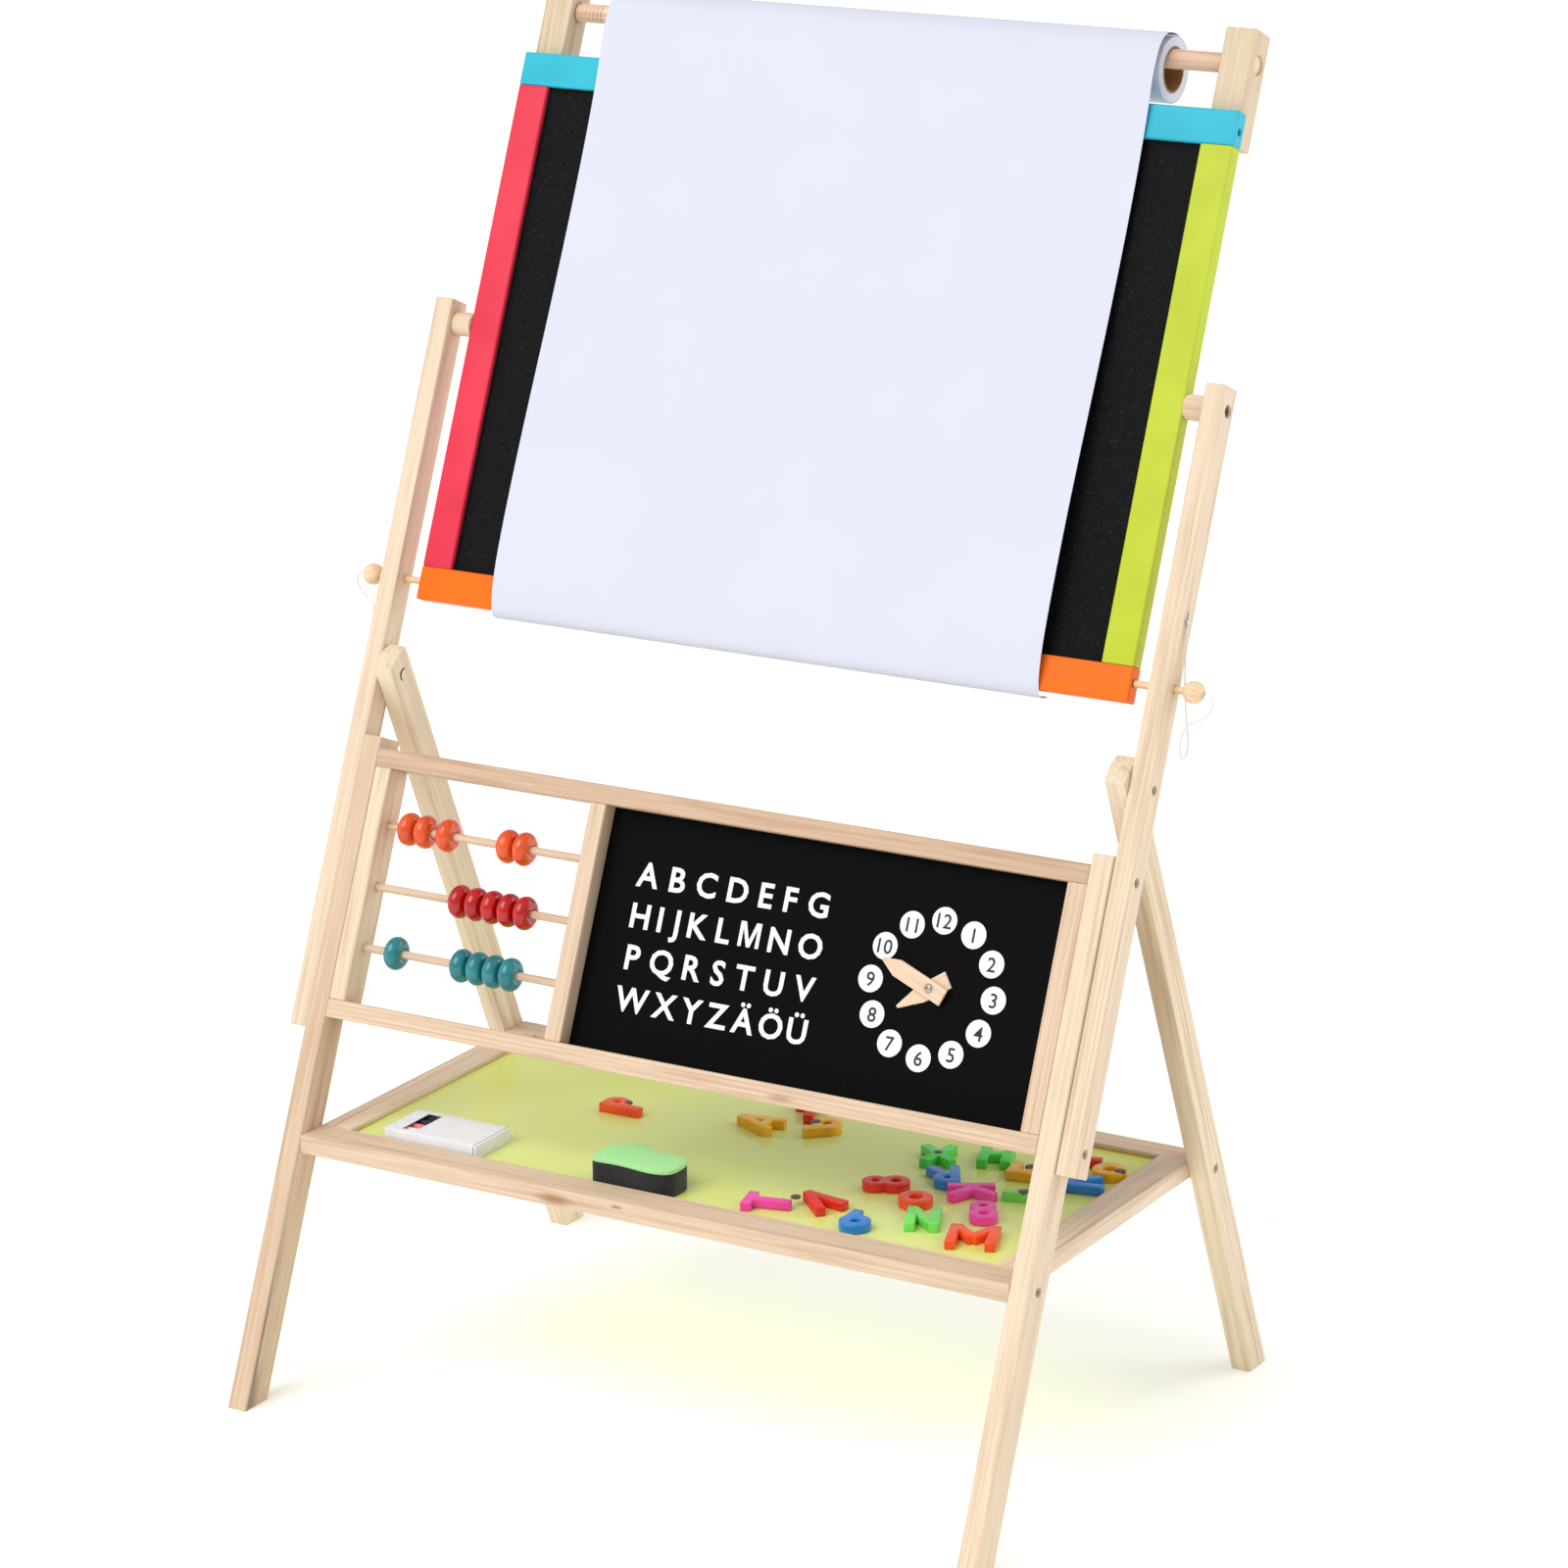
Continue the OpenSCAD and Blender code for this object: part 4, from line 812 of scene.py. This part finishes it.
CHALKS = {"pink": ("#F2908F", "#E27C7C"), "white": ("#F4F4F0", "#E4E4DE"), "navy_painted_shade": ("#2B3350", "#232A44"),
          "brown": ("#3B2C29", "#2E2220")}
# the two sticks at the back are nearly black, to paint the shade inside the far end of the box
for n, colour in enumerate(("pink", "white", "pink", "navy_painted_shade", "brown")):
    pale, deep = CHALKS[colour]
    stick = bmesh.new()
    bmesh.ops.create_cone(stick, cap_ends=True, segments=24, radius1=CHALK_R, radius2=CHALK_R * 0.9,
                          depth=CHALK_LONG)
    break_edges(stick, 600, 2)
    stick.transform(IN_BOX @ Matrix.Translation((CHALK_X, 5.2 + CHALK_APART * n, box.z / 2 - 0.6))
                    @ Matrix.Rotation(math.pi / 2, 4, "Y"))
    # pressed chalk: powdery and quite matt, with small pits
    which = "%d_%s" % (n + 1, colour)
    powder = mottled("pressed_chalk_" + which, 800, deep, pale, detail=3.0, relief=(0.4, 0.3), Roughness=0.95)
    finished("chalk_" + which, stick, powder, "box_card", "chalks")

# ---- The board eraser: a block of dark pressed felt, cut to a wavy outline, with a thin mint-green
# foam back glued on.
low, high = (Vector(c) * 1000 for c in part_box("eraser_felt"))
OUTLINE = [(5, 1.6), (20, 2.4), (33, 1.8), (45, 0.2), (55, 0.2), (63, 2.6), (67.3, 8), (68, 18), (66.6, 27),
           (61, 33), (50, 34.6), (39, 34.4), (32, 37.6), (25, 42.4), (18, 42.2), (12, 37.2), (6, 34),
           (1.2, 28), (0, 18), (0.8, 7)]
FELT_THICK, FOAM_THICK, STEPS = 17.5, 3.5, 4
looped = smooth_line([(x, y, 0) for x, y in OUTLINE[-2:] + OUTLINE + OUTLINE[:2]], STEPS)
looped = looped[2 * STEPS:][:STEPS * len(OUTLINE)]


def slab(thick, rise, rounding):
    """A layer of the eraser with its edges rounded."""
    block = bmesh.new()
    base = block.faces.new([block.verts.new((p.x, p.y, 0)) for p in looped])
    top = bmesh.ops.extrude_face_region(block, geom=[base])["geom"]
    top = [g for g in top if isinstance(g, bmesh.types.BMVert)]
    bmesh.ops.translate(block, verts=top, vec=(0, 0, thick))
    bmesh.ops.recalc_face_normals(block, faces=block.faces)
    rim = [e for e in block.edges if len(e.link_faces) == 2 and e.calc_face_angle(0) > 1]
    bmesh.ops.bevel(block, geom=rim, offset=rounding, offset_type="OFFSET", segments=3, profile=0.5,
                    affect="EDGES", clamp_overlap=False, material=-1)
    block.transform(IN_MM @ Matrix.Translation(low + Vector((0, 0, rise))))
    return block


# pressed wool felt: nearly black, deeply matt, with loose fibres
pressed_felt = mottled("pressed_wool_felt", 500, "#121214", "#262628", stops=(0.3, 0.75), detail=4.0,
                       relief=(0.6, 0.8), Roughness=0.95, Sheen_Weight=0.25)
finished("felt_block", slab(FELT_THICK, 0, 0.8), pressed_felt, "felt", "eraser", "eraser_felt")
# closed-cell foam: soft mint green, its cells of about 1 mm just dimpled
mint_foam, tree, shader = new_material("closed_cell_mint_foam", Roughness=0.7)
spot = add(tree, "TexCoord").outputs["Object"]
cells = add(tree, "TexVoronoi", {"Vector": spot, "Scale": 900.0})
mint = add(tree, "ValToRGB", {"Fac": cells.outputs["Distance"]},
           ramp=[(0.1, linear("#9BDC8E")), (0.7, linear("#AAE79C"))])
tree.links.new(mint.outputs["Color"], shader.inputs["Base Color"])
bump = add(tree, "Bump", {"Height": cells.outputs["Distance"], "Strength": 0.2, "Distance": 0.0003})
tree.links.new(bump.outputs["Normal"], shader.inputs["Normal"])
finished("foam_back", slab(FOAM_THICK, FELT_THICK, 0.7), mint_foam, "foam", "eraser", "eraser_top")

# ---- The magnetic letters and digits: moulded glossy plastic in seven colours, soft-edged, some
# lying face down so that the round magnet in their back shows.
LETTERS = (
    (-121, 22, "orange"), (-17, 38, "yellow"), (4, 78, "red"), (29, 51, "yellow"), (131, 43, "green"),
    (167.5, 63, "green"), (155, 6, "blue"), (205, 48, "yellow"), (126, -26, "red"), (160, -44, "orange"),
    (187, -10, "pink"), (220.5, 11, "mint"), (72, -100, "pink"), (103, -80, "red"), (143, -101, "blue"),
    (182, -73, "mint"), (213, -42, "pink"), (229, -87, "orange"), (226, 99, "red"), (253, 75, "yellow"),
    (246, 41, "blue"))
PLASTICS = {"orange": ("#FB5A22", "#EE4A16"), "yellow": ("#FBC02A", "#F2AE18"), "red": ("#E5301F", "#D62618"),
            "green": ("#5EE85B", "#4BDA4A"), "mint": ("#86F06E", "#72E25C"), "blue": ("#2F8ADF", "#2479CC"),
            "pink": ("#F74DB0", "#EA3DA1")}
# moulded polystyrene: clear strong colour that light enters a little, over a glossy moulded skin
moulded = {colour: mottled("moulded_%s_plastic" % colour, 60, deep, pale, skin=(350, 2.0, 0.08, 0.2),
                           Roughness=0.24, Subsurface_Weight=0.08, Subsurface_Scale=0.004)
           for colour, (pale, deep) in PLASTICS.items()}
whole = clean_copy("magnetic_letters")
# the letters come as one node: each closed island is taken out, and is known by its middle
left = set(whole.verts)
for corner in whole.verts:
    if corner not in left:
        continue
    island, edge = set(), {corner}
    while edge:
        island |= edge
        edge = {e.other_vert(v) for v in edge for e in v.link_edges} - island
    left -= island
    xs, ys = [v.co.x for v in island], [v.co.y for v in island]
    middle = Vector(((min(xs) + max(xs)) / 2, (min(ys) + max(ys)) / 2)) * 1000
    which = min(range(len(LETTERS)), key=lambda i: (Vector(LETTERS[i][:2]) - middle).length)
    letter = whole.copy()
    letter.verts.ensure_lookup_table()
    keep = {v.index for v in island}
    bmesh.ops.delete(letter, geom=[v for v in letter.verts if v.index not in keep], context="VERTS")
    break_edges(letter, 0.7, 2)
    finished("letter_%02d" % which, letter, moulded[LETTERS[which][2]], "letter_plastic", "letters",
             "magnetic_letters", flats=True)
whole.free()
# ferrite: sintered, a dull brown grey
ferrite = mottled("ferrite_magnet", 900, "#4A3B30", "#66564A", Roughness=0.5)
low, high = (Vector(c) * 1000 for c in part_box("magnetic_letters"))
MAGNETS = ((-119, 22, 3), (22, 55, 4.2), (131, 43, 3.2), (203, 50, 4.5), (222, 3, 4.5), (262, 74, 4.2),
           (87, -86, 3.6))
discs = []
for x, y, r in MAGNETS:
    disc = bmesh.new()
    bmesh.ops.create_cone(disc, cap_ends=True, segments=32, radius1=r, radius2=r, depth=1.4)
    break_edges(disc, 250, 2)
    disc.transform(IN_MM @ Matrix.Translation((x, y, high.z - 0.45)))
    discs.append(disc)
gathered("ferrite_magnets", discs, ferrite, "letter_plastic", "letters")
